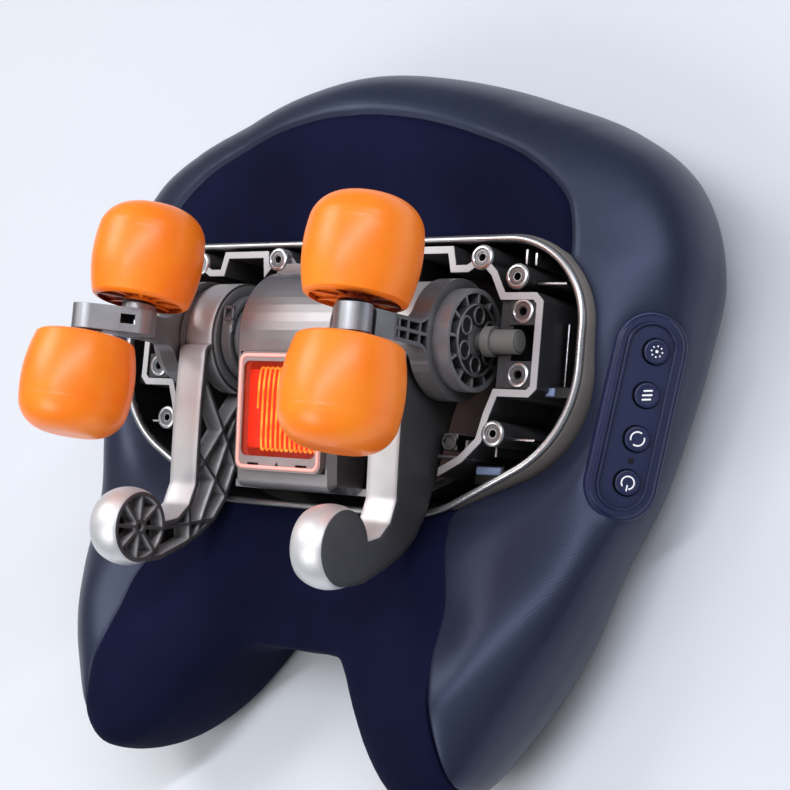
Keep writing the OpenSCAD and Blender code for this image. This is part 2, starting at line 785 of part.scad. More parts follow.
// Start of a roller above its face of the carrier, and the end of its inner hub
collar_h = 2;
roller_z = collar_h + roller_gap;
hub_end = roller_len - 9.2;
axle_seat = 7;
end_play = 0.3;

module on_upper(h = 0) {
    translate([upper_x, carrier_y + carrier_h, upper_z]) rotate([-90 - roller_lean, 0, 0])
        translate([0, 0, h]) children();
}

module on_lower(h = 0) {
    translate([lower_x, carrier_y, lower_z]) rotate([90 - roller_lean, 0, 0])
        translate([0, 0, h]) children();
}

module carrier_plan() {
    hull() {
        translate([upper_x, upper_z]) circle(8);
        translate([lower_x, lower_z]) circle(7);
    }
    translate([upper_x - 2, 60]) square([roller_arm_x + roller_arm_w - upper_x + 2, 12]);
}

module roller_carrier() {
    color("darkgray") place_unit() difference() {
        union() {
            translate([0, carrier_y + carrier_h, 0]) rotate([90, 0, 0]) linear_extrude(carrier_h) carrier_plan();
            on_upper(-1) cylinder(h = 3, r = 7.2);
            on_lower(-1) cylinder(h = 1.6, r = 6);
        }
        translate([upper_x - 5, carrier_y + 3.5, upper_z + 3]) cube([9, 4, 8]);
        on_upper(-8) cylinder(h = 20, r = axle_r);
        on_lower(-8) cylinder(h = 20, r = axle_r);
    }
}

module axle() {
    head_z = roller_z + hub_end + end_play;
    translate([0, 0, -axle_seat]) cylinder(h = axle_seat + head_z, r = axle_r);
    translate([0, 0, head_z]) cylinder(h = 2.5, r = axle_r + 2);
}

module upper_axle() {
    color("lightgray") place_unit() on_upper() axle();
}

module lower_axle() {
    color("lightgray") place_unit() on_lower() axle();
}

// Roller: closed at its outer end, open with spokes at the carrier's end

module roller() {
    hub_r = 7;
    translate([0, 0, roller_z]) difference() {
        union() {
            rotate_extrude() difference() {
                roller_side(0);
                roller_side(roller_wall);
                translate([-1, -1]) square([roller_r - 4.5, 3]);
            }
            cylinder(h = hub_end + 0.2, r = hub_r);
            for (a = [0:45:315]) rotate([0, 0, a]) translate([hub_r - 1, -0.9, 1])
                cube([roller_r - hub_r - 2.6, 1.8, roller_len - 14]);
        }
        translate([0, 0, -1]) cylinder(h = hub_end + 2, r = axle_r + fit_gap);
        translate([0, 0, hub_end]) cylinder(h = 4.2, r = axle_r + 2.6);
    }
}

// Half section of the roller: a barrel with a broad rounded outer end
module roller_side(inset) {
    intersection() {
        translate([0, inset]) square([roller_r - inset, roller_len - 2 * inset]);
        translate([-62 + roller_r - inset, roller_len * 0.48]) circle(62, $fn = 96);
        union() {
            square([100, roller_len - 14]);
            translate([0, roller_len - 14 - inset]) square([roller_r - 14, 14]);
            translate([roller_r - 14.6, roller_len - 14]) circle(14 - inset);
        }
        union() {
            translate([0, 4]) square([100, 100]);
            square([roller_r - 5.6, 10]);
            translate([roller_r - 6.4, 5]) circle(5 - min(inset, 4));
        }
    }
}

module upper_roller() {
    color("darkorange") place_unit() on_upper() roller();
}

module lower_roller() {
    color("darkorange") place_unit() on_lower() roller();
}

module case_screws() {
    color("lightgray") place_unit() for (s = [-1, 1], p = case_fixings) translate([s * p[0], p[1], 0]) {
        translate([0, 0, -tray_floor]) cylinder(h = tray_wall + case_floor_t, r = screw_hole_r);
        translate([0, 0, case_floor_z + case_floor_t]) cylinder(h = 1.8, r = 2.9);
    }
}

module bearing() {
    color("lightsteelblue") place_unit() on_shaft(bearing_x) difference() {
        cylinder(h = bearing_w, r = bearing_r);
        translate([0, 0, -1]) cylinder(h = bearing_w + 2, r = shaft_r + fit_gap);
    }
}

// Control panel on the right side wall

module stadium(l, w, t) {
    linear_extrude(t) hull() for (s = [-1, 1]) translate([0, s * (l - w) / 2]) circle(w / 2);
}

button_rows = [-1.5, -0.5, 0.5, 1.5];
button_shift = 2;
panel_skirt = 5;

module control_panel() {
    color("midnightblue") place_panel() difference() {
        union() {
            stadium(panel_len, panel_w, panel_t);
            translate([0, 0, panel_t]) difference() {
                stadium(panel_len, panel_w, 0.8);
                translate([0, 0, -1]) stadium(panel_len - 4, panel_w - 4, 3);
            }
            // Skirt that closes the gap down to the cover
            translate([0, 0, -panel_skirt]) difference() {
                stadium(panel_len, panel_w, panel_skirt);
                translate([0, 0, -1]) stadium(panel_len - 4, panel_w - 4, panel_skirt + 1);
            }
        }
        for (i = button_rows) translate([button_shift, i * button_pitch, -1])
            cylinder(h = 6, r = button_r + button_gap);
        translate([button_shift, -button_pitch, -1]) cylinder(h = 6, r = 1.2);
    }
}

module button(i) {
    color("lightsteelblue") place_panel() translate([button_shift, i * button_pitch, button_travel + 0.2])
        cylinder(h = panel_t - 0.2, r = button_r);
}

module indicator_lens() {
    color("white") place_panel() translate([button_shift, -button_pitch, 0]) cylinder(h = panel_t + 0.2, r = 1.2);
}

module key_board() {
    color("darkgreen") place_panel() translate([0, 0, -1.6]) stadium(panel_len - 6, panel_w - 6, 1.6);
}

module panel_space() {
    place_panel() translate([0, 0, -panel_skirt]) stadium(panel_len, panel_w, 30);
}

module circuit_board() {
    color("darkgreen") place_unit() translate([-44, -24, case_floor_z + case_floor_t]) cube([26, 22, 1.6]);
}

battery_size = [72, 36, 20];
battery_y = 0.61 * crown_r;

module battery_pack() {
    color("slategray") translate([-battery_size[0] / 2, battery_y, cover_t]) cube(battery_size);
}

// Soft body and its covers

module foam_core() {
    color("lightgray") difference() {
        pillow_skin(cover_t, cover_sink);
        back_slab();
        tray_space();
        panel_space();
        battery_pack();
    }
}

// The cover's inner side goes on below the back cover's top, so that the cut there is clean
cover_sink = 1;
beyond = 2 * lobe_r;

module back_slab() {
    translate([-beyond, -beyond, -1]) cube([2 * beyond, 2 * beyond, 1 + cover_t]);
}

module shell() {
    difference() {
        pillow_skin(0);
        pillow_skin(cover_t, cover_sink);
        tray_space();
        panel_space();
    }
}

module side_cover() {
    color("darkslategray") difference() {
        shell();
        seam_block();
        back_slab();
    }
}

// The tray's mouth parts the navy front into a crown panel and a lobe panel
module front_cover(crown) {
    color("midnightblue") intersection() {
        shell();
        seam_block();
        translate([-beyond, crown ? 0 : -2 * beyond, 0]) cube(2 * beyond);
    }
}

module back_cover() {
    color("darkslategray") intersection() {
        pillow_skin(0);
        back_slab();
    }
}

foam_core();
side_cover();
front_cover(true);  // crown_cover
front_cover(false);  // lobe_cover
back_cover();
tray();
rim_trim();
gear_case();
motor_cover();
heater_frame();
heater_window();
heating_coil();
coil_card();
motor_can();
worm();
worm_bush();
drive_shaft();
worm_wheel();
side(true) bearing();  // right_bearing
side(false) bearing();  // left_bearing
side(true) hub();  // right_hub
side(false) hub();  // left_hub
side(true) shaft_bush();  // right_shaft_bush
side(false) shaft_bush();  // left_shaft_bush
side(true) roller_arm();  // right_roller_arm
side(false) roller_arm();  // left_roller_arm
side(true) thumb_arm();  // right_thumb_arm
side(false) thumb_arm();  // left_thumb_arm
side(true) roller_carrier();  // right_roller_carrier
side(false) roller_carrier();  // left_roller_carrier
side(true) upper_axle();  // right_upper_axle
side(true) lower_axle();  // right_lower_axle
side(false) upper_axle();  // left_upper_axle
side(false) lower_axle();  // left_lower_axle
side(true) upper_roller();  // right_upper_roller
side(true) lower_roller();  // right_lower_roller
side(false) upper_roller();  // left_upper_roller
side(false) lower_roller();  // left_lower_roller
case_screws();
control_panel();
button(-1.5);  // power_button
button(-0.5);  // direction_button
button(0.5);  // mode_button
button(1.5);  // heat_button
indicator_lens();
key_board();
circuit_board();
battery_pack();
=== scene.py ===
# %% [markdown]
# # An electric massage pillow
# The pillow is a firm foam body in a sewn cover, with a kneading machine let into its front.
# The machine comes ready from the CAD model. This lesson gives it its finishes, and makes the
# sewn cover, the heating coil and the small parts that a CAD model leaves plain.

import json
import math

import bmesh
import bpy
import numpy as np
from mathutils import Matrix, Vector


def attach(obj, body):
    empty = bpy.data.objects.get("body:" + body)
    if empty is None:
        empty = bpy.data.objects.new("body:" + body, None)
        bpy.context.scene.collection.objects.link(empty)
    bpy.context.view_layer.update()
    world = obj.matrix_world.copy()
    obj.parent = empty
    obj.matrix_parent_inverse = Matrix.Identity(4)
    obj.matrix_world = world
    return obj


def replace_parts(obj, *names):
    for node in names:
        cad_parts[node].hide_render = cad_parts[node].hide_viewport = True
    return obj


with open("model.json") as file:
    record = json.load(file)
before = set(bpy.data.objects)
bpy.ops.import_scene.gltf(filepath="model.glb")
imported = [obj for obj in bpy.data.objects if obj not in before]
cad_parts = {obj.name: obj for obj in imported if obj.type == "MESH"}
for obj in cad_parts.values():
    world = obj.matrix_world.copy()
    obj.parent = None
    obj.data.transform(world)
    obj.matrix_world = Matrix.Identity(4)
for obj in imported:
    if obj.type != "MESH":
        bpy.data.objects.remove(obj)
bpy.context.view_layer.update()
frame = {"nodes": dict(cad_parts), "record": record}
nodes = frame["nodes"]
mm = 0.001

# %% [markdown]
# The camera comes first, because everything that follows is compared with one picture. It was
# found by matching the rollers, the machine's rim and the window, so it is written as a place
# and two directions instead of an aim. The focal length is in pixels of a 790 pixel picture.

# %% Camera
picture_px = 790
focal_px = 1650
sensor_mm = 36.0
camera_place = Vector((0.43843, -0.17484, 0.59943))
camera_right = Vector((0.81382, 0.21565, -0.53962))
camera_up = Vector((-0.02932, 0.94265, 0.33250))


def linked(name, data):
    """A new object in the scene, for its data."""
    made = bpy.data.objects.new(name, data)
    bpy.context.scene.collection.objects.link(made)
    return made


camera = linked("camera", bpy.data.cameras.new("camera"))
bpy.context.scene.camera = camera
camera.data.sensor_width = sensor_mm
camera.data.lens = sensor_mm * focal_px / picture_px
camera.data.clip_start = 0.01
camera.data.clip_end = 30
across = camera_right.normalized()
back = across.cross(camera_up).normalized()
upward = back.cross(across)
camera.matrix_world = Matrix((across, upward, back)).transposed().to_4x4()
camera.location = camera_place
bpy.context.scene.view_settings.view_transform = "Standard"
print("lens, mm:", round(camera.data.lens, 1))

# %% [markdown]
# Colours are written as the hex values that a paint program shows. Blender's sockets want
# linear light, so one function converts them. A second small function adds a shader node: a
# node or a socket gets linked, a hex string becomes a colour, anything else is set.


# %% Colour and node helpers
def linear(code):
    """sRGB hex to linear RGBA: c / 12.92 below 0.04045, else ((c + 0.055) / 1.055) ** 2.4."""
    c = np.array([int(code[i : i + 2], 16) for i in (1, 3, 5)]) / 255
    c = np.where(c <= 0.04045, c / 12.92, ((c + 0.055) / 1.055) ** 2.4)
    return (*c.tolist(), 1.0)


def add(tree, kind, inputs=None, **settings):
    """One shader node with its settings, values and links. A node as a value stands for its first output."""
    made = tree.nodes.new("ShaderNode" + kind)
    for key, value in settings.items():
        setattr(made, key, value)
    for key, value in (inputs or {}).items():
        socket = made.inputs[key]
        if isinstance(value, bpy.types.Node):
            value = value.outputs[0]
        if isinstance(value, bpy.types.NodeSocket):
            tree.links.new(value, socket)
        else:
            socket.default_value = linear(value) if isinstance(value, str) else value
    return made


def blank(name):
    """An empty material: its node tree, and the Object coordinates in metres."""
    material = bpy.data.materials.new(name)
    material.use_nodes = True
    tree = material.node_tree
    tree.nodes.clear()
    return material, tree, add(tree, "TexCoord").outputs["Object"]


def output(tree, shader):
    """Joins a shader to the material's output."""
    add(tree, "OutputMaterial", {"Surface": shader})


def spread(tree, factor, stops):
    """Colours or greys along a factor: stops is a list of (place, hex)."""
    ramp = add(tree, "ValToRGB", {"Fac": factor})
    while len(ramp.color_ramp.elements) < len(stops):
        ramp.color_ramp.elements.new(0.5)
    for element, (place, code) in zip(ramp.color_ramp.elements, stops):
        element.position = place
        element.color = linear(code)
    return ramp


# %% [markdown]
# The floor is plain and pale, and a wall bends up out of it, so that no edge shows. A soft key
# lamp stands high on the left, a long strip draws the light along the cover's right side, and a
# weak lamp and a grey world, paler at the top, fill the shadows.

# %% Floor, wall and lamps
sheet_profile = np.array([(-3.0, 0.0), (2.2, 0.0), (2.6, 0.08), (2.85, 0.35), (3.0, 1.0), (3.0, 3.0)])
floor_mesh = bpy.data.meshes.new("floor")
floor_half = 4.0
floor_points = [(x, y, z) for x in (-floor_half, floor_half) for y, z in sheet_profile]
steps = len(sheet_profile)
floor_mesh.from_pydata(floor_points, [], [(i + 1, i, i + steps, i + steps + 1) for i in range(steps - 1)])
floor = linked("floor", floor_mesh)
for face in floor_mesh.polygons:
    face.use_smooth = True

paper, tree, coords = blank("backdrop_paper")
grain = add(tree, "TexNoise", {"Vector": coords, "Scale": 1.1, "Detail": 1.0})
tone = spread(tree, grain, [(0.3, "#dfe2ea"), (0.7, "#e8ebf0")])
output(tree, add(tree, "BsdfPrincipled", {"Base Color": tone, "Roughness": 0.95, "Specular IOR Level": 0.1}))
floor_mesh.materials.append(paper)

world = bpy.data.worlds.new("studio")
bpy.context.scene.world = world
world.use_nodes = True
world.node_tree.nodes.clear()
direction = add(world.node_tree, "TexCoord")
upness = add(world.node_tree, "SeparateXYZ", {"Vector": direction}).outputs["Z"]
dome = spread(world.node_tree, upness, [(0.0, "#66686c"), (0.2, "#8f9298"), (0.8, "#ffffff")])
sky = add(world.node_tree, "Background", {"Color": dome, "Strength": 0.42})
add(world.node_tree, "OutputWorld", {"Surface": sky})


def lamp(name, place, target, size, energy, code="#ffffff"):
    """A soft rectangular lamp at a place, turned to a target; size is (width, height)."""
    light = bpy.data.lights.new(name, "AREA")
    light.shape = "RECTANGLE"
    light.size, light.size_y = size
    light.energy = energy
    light.color = linear(code)[:3]
    made = linked(name, light)
    made.location = place
    aim = Vector(target) - Vector(place)
    made.rotation_euler = aim.to_track_quat("-Z", "Y").to_euler()


lamp("key", (-0.75, 0.35, 1.15), (0, 0, 0.08), (0.6, 0.6), 6.0)
lamp("overhead_strip", (0.42, 0.22, 1.05), (0.12, 0.0, 0.0), (0.06, 1.5), 8.0, "#f2f5ff")
lamp("fill", (-0.3, -0.8, 0.95), (0, 0, 0.08), (0.5, 0.5), 4)

# %% [markdown]
# ## Finishes
# Each finish starts from what the real one is. Patterns are worked out in real sizes: Object
# coordinates are metres, so a noise of scale 1 / 0.0008 has features about 0.8 mm apart.

# %% Slate soft-touch knit of the side band
slate_knit, tree, coords = blank("slate_polyester_knit")
# Polyester knit with a brushed face: dull, with a pale bloom where it is seen at a slant.
# A thread is 0.4 mm wide, drawn at 0.7 mm so that it just shows. A wave is a ridge and a gap.
weave = add(tree, "UVMap")
thread = 0.0007
wave = {"Vector": weave, "Scale": 1 / thread / 6.283, "Distortion": 1.0}
stripes, rungs = (add(tree, "TexWave", wave, bands_direction=way).outputs["Fac"] for way in "XY")
knit = add(tree, "Math", {0: stripes, 1: rungs}, operation="MULTIPLY")
fuzz = add(tree, "TexNoise", {"Vector": coords, "Scale": 1 / 0.0009, "Detail": 3.0})
drift = add(tree, "TexNoise", {"Vector": coords, "Scale": 1 / 0.06, "Detail": 2.0})
tone = spread(tree, drift, [(0.3, "#292e41"), (0.7, "#31374b")])
speck = spread(tree, fuzz, [(0.3, "#6f6f6f"), (0.7, "#8f8f8f")])
dark = add(tree, "MixRGB", {"Fac": 0.5, "Color1": tone, "Color2": speck}, blend_type="SOFT_LIGHT")
relief = add(tree, "Math", {0: knit, 1: fuzz}, operation="ADD")
bump = add(tree, "Bump", {"Height": relief, "Strength": 0.10, "Distance": 0.0002})
output(tree, add(tree, "BsdfPrincipled", {
    "Base Color": dark, "Roughness": 0.37, "Normal": bump, "Specular IOR Level": 0.5,
    "Specular Tint": "#c0cbf2", "Sheen Weight": 0.04, "Sheen Roughness": 0.4, "Sheen Tint": "#7f879d"}))

# %% Navy mesh of the front panels
navy_mesh, tree, coords = blank("navy_spacer_mesh")
# Warp-knitted spacer mesh: rows of small open cells, nearly black in the holes.
weave = add(tree, "UVMap")
cell = 0.0015
holes = add(tree, "TexVoronoi", {"Vector": weave, "Scale": 1 / cell, "Randomness": 0.25},
            voronoi_dimensions="2D")
drift = add(tree, "TexNoise", {"Vector": coords, "Scale": 1 / 0.05, "Detail": 2.0})
tone = spread(tree, drift, [(0.3, "#0e112b"), (0.7, "#131636")])
shade = spread(tree, holes, [(0.0, "#8a8a8a"), (0.4, "#ffffff")])
dark = add(tree, "MixRGB", {"Fac": 0.6, "Color1": tone, "Color2": shade}, blend_type="MULTIPLY")
bump = add(tree, "Bump", {"Height": holes, "Strength": 0.2, "Distance": 0.0003})
output(tree, add(tree, "BsdfPrincipled", {
    "Base Color": dark, "Roughness": 0.8, "Normal": bump,
    "Specular IOR Level": 0.08, "Sheen Weight": 0.03, "Sheen Roughness": 0.5, "Sheen Tint": "#3a4488"}))


# %% [markdown]
# Metals and plastics share one recipe, and differ in their numbers: a slow change of tone,
# fine speckle from the mould or the shot-blasting, and a small bump from it. Ambient occlusion
# paints shade into corners, creases and gaps between parts. `grain` is the size of the speckle
# in millimetres, and `depth` how far it stands out.


# %% Recipe of a moulded or cast finish
patch_size, hollow_size = 0.02, 0.006


def moulded(name, light, dark, rough, metal=0.0, grain=0.5, depth=0.05, streak=(1, 1, 1), second=None,
            pocket=None, edge=0.3, **extra):
    """Noise of `grain` mm, stretched by `streak`, gives tone, gloss and bump. `second` is (mask, light, dark,
    roughness): where the mask, a function of the tree and the coordinates, is 1, that finish takes over.
    `pocket` is such a mask too, and darkens what it covers. `edge` is the radius that edges seem to have."""
    material, tree, coords = blank(name)
    turn = add(tree, "Mapping", {"Vector": coords, "Scale": streak})
    speck = add(tree, "TexNoise", {"Vector": turn, "Scale": 1 / (grain * mm), "Detail": 4.0})
    patch = add(tree, "TexNoise", {"Vector": coords, "Scale": 1 / patch_size, "Detail": 3.0})
    both = add(tree, "Math", {0: speck, 1: patch, 2: 0.5}, operation="MULTIPLY_ADD")
    tone = spread(tree, both, [(0.55, dark), (0.95, light)])
    gloss = add(tree, "MapRange", {
        "Value": patch, "From Min": 0.3, "From Max": 0.7, "To Min": rough - 0.05, "To Max": rough + 0.05})
    if second:
        mask, light2, dark2, rough2 = second
        where = mask(tree, coords)
        other = spread(tree, both, [(0.55, dark2), (0.95, light2)])
        tone = add(tree, "MixRGB", {"Fac": where, "Color1": tone, "Color2": other})
        gloss = add(tree, "MapRange", {"Value": where, "To Min": gloss, "To Max": rough2})
    # Painted shade: ambient occlusion darkens the colour in corners, creases and gaps between parts, down to
    # dark grey.
    hollow = add(tree, "AmbientOcclusion", {"Distance": hollow_size}, samples=4)
    painted_cavity_shade = spread(tree, hollow.outputs["AO"], [(0.2, "#3a3a3a"), (0.8, "#ffffff")])
    tone = add(tree, "MixRGB", {"Fac": 0.8, "Color1": tone, "Color2": painted_cavity_shade}, blend_type="MULTIPLY")
    # Painted shade: the pocket mask lays near-black colour over the pockets' floors.
    if pocket:
        covered = pocket(tree, coords)
        tone = add(tree, "MixRGB", {"Fac": covered, "Color1": tone, "Color2": "#0d0d0e"})
    soft_edge = add(tree, "Bevel", {"Radius": edge * mm}, samples=4)
    bump = add(tree, "Bump", {"Height": speck, "Strength": 0.3, "Distance": depth * mm, "Normal": soft_edge})
    output(tree, add(tree, "BsdfPrincipled", {
        "Base Color": tone, "Roughness": gloss, "Metallic": metal, "Normal": bump,
        **{key.replace("_", " "): value for key, value in extra.items()}}))
    return material


# %% [markdown]
# The gear case is milled flat where its lid sits, so its walls' edges are bright. Below that
# edge it is painted dark grey, which is painted shade for the inside of the case. The thumb
# arms are polished on the edge that shows, and their flanks are painted a darker grey as
# painted shade. Both are told apart by place: a height along the machine's own axis, and the
# face's direction. The pockets in the arms and hubs get near-black painted shade in the same
# way, between two distances.


# %% The machine's own frame, and where the second finish starts
tilt = math.radians(13)
unit_y, unit_z = 3.5, 58.0
shaft_height, milled_depth = 10.0, 0.5


def below_flange(tree, coords):
    """1 below the case's milled edge: height = z cos(tilt) - y sin(tilt), less the machine's own place."""
    axis = (0, -math.sin(tilt), math.cos(tilt))
    height = add(tree, "VectorMath", {0: coords, 1: axis}, operation="DOT_PRODUCT").outputs["Value"]
    edge = (shaft_height - milled_depth + unit_z * math.cos(tilt) - unit_y * math.sin(tilt)) * mm
    return add(tree, "Math", {0: height, 1: edge}, operation="LESS_THAN")


def on_flank(tree, coords):
    """1 on faces that look along X."""
    facing = add(tree, "SeparateXYZ", {"Vector": add(tree, "TexCoord").outputs["Normal"]})
    size = add(tree, "Math", {0: facing}, operation="ABSOLUTE")
    return add(tree, "Math", {0: size, 1: 0.9}, operation="GREATER_THAN")


def pockets_between(low, high):
    """Mask of faces that look along X and lie between two distances from the middle, in millimetres."""
    def mask(tree, coords):
        x = add(tree, "SeparateXYZ", {"Vector": coords})
        size = add(tree, "Math", {0: x}, operation="ABSOLUTE")
        band = {0: size, 1: (low + high) / 2 * mm, 2: (high - low) / 2 * mm}
        between = add(tree, "Math", band, operation="COMPARE")
        return add(tree, "Math", {0: between, 1: on_flank(tree, coords)}, operation="MULTIPLY")
    return mask


# Aluminium and die-cast zinc: clean grey with broad soft reflections, speckled where it was blasted
satin_metal = moulded("satin_aluminium", "#dcdcde", "#c6c6ca", 0.30, 1.0, 0.35, 0.02)
rim_metal = moulded("brushed_aluminium", "#d2d2d3", "#c0c0c2", 0.32, 0.9, 0.5, 0.004, (1, 6, 1))
cover_metal = moulded("satin_anodised_cover", "#a9a6a8", "#959295", 0.40, 0.8, 0.35, 0.02)
# The arms' flanks are painted darker grey as painted shade, and their pockets near black as painted shade.
arm_metal = moulded("zinc_with_painted_flank_and_pocket_shade", "#ececee", "#dededf", 0.45, 0.6, 0.35, 0.02, edge=3.6,
                    second=(on_flank, "#6a6a6c", "#5c5c5e", 0.55), pocket=pockets_between(46.4, 60.5))
cast_metal = moulded("shot_blasted_zinc", "#b9b9bc", "#9d9da1", 0.42, 1.0, 0.6, 0.06)
# Below the milled edge the case is painted dark grey: painted shade for its inside.
case_metal = moulded("milled_edge_case_with_painted_inner_shade", "#d4d4d6", "#c2c2c5", 0.42, 0.3, 0.6, 0.05,
                     second=(below_flange, "#4e4e50", "#3a3a3c", 0.5))
# Steel and brass: dull where it is phosphated or plated, and with rings round the axis where it is turned
# Its pockets get near-black painted shade.
dark_metal = moulded("phosphated_steel", "#8a8a8d", "#747477", 0.40, 0.5, 0.5, 0.04,
                     pocket=pockets_between(63.3, 71.7))
turned_steel = moulded("turned_steel", "#c9cbcf", "#aeb1b6", 0.22, 1.0, 0.3, 0.02, (1, 14, 14))
motor_steel = moulded("zinc_plated_steel", "#8f9296", "#777a80", 0.35, 1.0, 0.8, 0.03)
brass = moulded("turned_brass", "#c9a24e", "#a9822f", 0.3, 1.0, 0.4, 0.02)
# Plastics: no mirror, a soft gloss and the fine grain of the mould; the hubs are sprayed like metal
# The hubs' cells get near-black painted shade on their floors.
hub_plastic = moulded("sprayed_nylon_hub", "#a4a4a7", "#8e8e91", 0.36, 0.4, 0.5, 0.04,
                      pocket=pockets_between(70, 78.7))
bush_plastic = moulded("filled_nylon_bush", "#8b8885", "#7b7875", 0.5, 0.1, 0.5, 0.03)
tray_plastic = moulded("charcoal_abs", "#1c1b1c", "#131213", 0.5, 0.0, 0.7, 0.08)
pad_plastic = moulded("pale_blue_pads", "#8fa0c4", "#7f90b4", 0.4, 0.0, 0.5, 0.02)
gear_plastic = moulded("acetal", "#e6e2d2", "#d3cebb", 0.4, 0.0, 0.6, 0.03)
panel_plastic = moulded("navy_abs", "#1c2650", "#161e42", 0.38, 0.0, 0.5, 0.03)
skirt_rubber = moulded("warm_grey_elastomer", "#8a837e", "#78716d", 0.6, 0.0, 0.6, 0.04)
# Inner parts: green lacquer on the boards, the battery's glossy sleeve, dull foam, the mica card with a
# painted glow
board_laminate = moulded("solder_mask", "#1c5a34", "#124526", 0.35, 0.0, 0.8, 0.03)
battery_wrap = moulded("battery_sleeve", "#3d5f8f", "#2f4c76", 0.3, 0.0, 2.0, 0.05)
foam = moulded("polyurethane_foam", "#cfcabd", "#b9b3a4", 0.9, 0.0, 0.8, 0.2)
# The mica card's emission is a painted glow, standing for the coil's light on it.
mica_sheet = moulded("glowing_mica", "#ff4a26", "#f0321a", 0.5, 0.0, 1.5, 0.06,
                     Emission_Color="#ff2a12", Emission_Strength=0.55)

# %% [markdown]
# The rollers are orange silicone over a hard core. Silicone lets some light in, so it gets a
# little subsurface scattering, and its skin is smooth with a soft gloss. The window is red
# acrylic lit from behind by the coil, with a painted glow as emission, and the coil glows
# orange where it is hottest. Where the silicone lies in a hollow, shade is painted into its
# colour, and elsewhere it gets a faint painted glow.

# %% Rubber, glow and print
orange_rubber, tree, coords = blank("orange_silicone")
cloud = add(tree, "TexNoise", {"Vector": coords, "Scale": 1 / 0.018, "Detail": 2.0})
tone = spread(tree, cloud, [(0.3, "#ff8010"), (0.7, "#ff8f20")])
# Painted shade: ambient occlusion darkens hollows in the silicone to a deep red-brown.
hollow = add(tree, "AmbientOcclusion", {"Distance": 0.016}, samples=6).outputs["AO"]
tone = add(tree, "MixRGB", {
    "Fac": 1.0, "Color1": tone, "Color2": spread(tree, hollow, [(0.25, "#7a1e05"), (0.55, "#ffffff")])},
    blend_type="MULTIPLY")
# Painted glow: a faint orange emission where the silicone is not in a hollow.
glow = add(tree, "MapRange", {
    "Value": hollow, "From Min": 0.3, "From Max": 0.6, "To Min": 0.0, "To Max": 0.16})
skin = add(tree, "TexNoise", {"Vector": coords, "Scale": 1 / 0.0004, "Detail": 2.0})
bump = add(tree, "Bump", {"Height": skin, "Strength": 0.12, "Distance": 0.00004})
output(tree, add(tree, "BsdfPrincipled", {
    "Base Color": tone, "Roughness": 0.38, "Normal": bump, "Subsurface Weight": 0.1,
    "Subsurface Radius": (1.0, 0.3, 0.05), "Subsurface Scale": 0.002, "Specular IOR Level": 0.4,
    "Emission Color": "#ff6a08", "Emission Strength": glow, "Coat Weight": 0.3, "Coat Roughness": 0.3}))

hot_wire, tree, coords = blank("glowing_wire")
# Resistance wire at work: orange to orange-yellow, in patches about 6 mm across.
heat = add(tree, "TexNoise", {"Vector": coords, "Scale": 1 / 0.006, "Detail": 1.0})
tone = spread(tree, heat, [(0.35, "#ff8420"), (0.65, "#ffb648")])
output(tree, add(tree, "BsdfPrincipled", {
    "Base Color": tone, "Roughness": 0.4, "Metallic": 0.3, "Emission Color": tone, "Emission Strength": 1.0}))

red_window, tree, coords = blank("red_acrylic")
haze = add(tree, "TexNoise", {"Vector": coords, "Scale": 1 / 0.01, "Detail": 1.0})
tone = spread(tree, haze, [(0.3, "#ff3a22"), (0.7, "#ff4a30")])
# The acrylic's emission is a painted glow for the coil's light behind it.
output(tree, add(tree, "BsdfPrincipled", {
    "Base Color": tone, "Roughness": 0.12, "IOR": 1.45, "Emission Color": tone, "Emission Strength": 0.2,
    "Alpha": 0.16}))

warm_frame = moulded("heat_proof_nylon", "#b3a3a1", "#a19190", 0.4, 0.2, 0.6, 0.04)
# The bead's emission is a painted glow for the heater's light in the frame.
glow_bead = moulded("glowing_bead", "#ffc9c0", "#ffb8ae", 0.4, 0.0, 0.6, 0.02,
                    Emission_Color="#ff8a7c", Emission_Strength=0.45)
# The print's emission is a faint painted glow that makes it read brighter.
white_print = moulded("white_print", "#f7f8fc", "#eceef5", 0.5, 0.0, 0.3, 0.01,
                      Emission_Color="#ffffff", Emission_Strength=0.2)
dark_lens = moulded("smoked_lens", "#10131f", "#0b0d16", 0.2, 0.0, 0.5, 0.01)

# %% Finishes of the CAD nodes
finish_of = dict(
    foam=foam, side_fabric=slate_knit, front_fabric=navy_mesh, tray_plastic=tray_plastic, rim_metal=rim_metal,
    cast_metal=cast_metal, satin_metal=satin_metal, dark_metal=dark_metal, hub_plastic=hub_plastic,
    steel=turned_steel, brass=brass, gear_plastic=gear_plastic, motor_steel=motor_steel,
    heater_plastic=warm_frame, heater_lens=red_window, coil_wire=hot_wire, mica=mica_sheet,
    orange_rubber=orange_rubber, panel_plastic=panel_plastic, lens=dark_lens, board=board_laminate,
    battery_wrap=battery_wrap)
own_finish = dict(
    gear_case=case_metal, right_thumb_arm=arm_metal, left_thumb_arm=arm_metal, motor_cover=cover_metal,
    drive_shaft=bush_plastic, right_shaft_bush=bush_plastic, left_shaft_bush=bush_plastic)
slot_of = {part["node"]: part["material_slot"] for part in frame["record"]["subparts"]}
for name, node in nodes.items():
    node.data.materials.clear()
    node.data.materials.append(own_finish.get(name, finish_of[slot_of[name]]))
print("slots:", len(finish_of), "nodes with a finish of their own:", len(own_finish))

# %% [markdown]
# ## The sewn cover
# The pillow's outline is drawn as a radius for each direction from its centre, because every
# edge of it can be seen from there. A smooth curve runs through a few known points from the
# notch (-90 degrees) to the crown (90 degrees), and the left half mirrors the right. Other
# tables say, by direction, how far out the navy front reaches, how square the section's
# shoulder is, how high the widest place lies, and how far inside it the flat back ends.

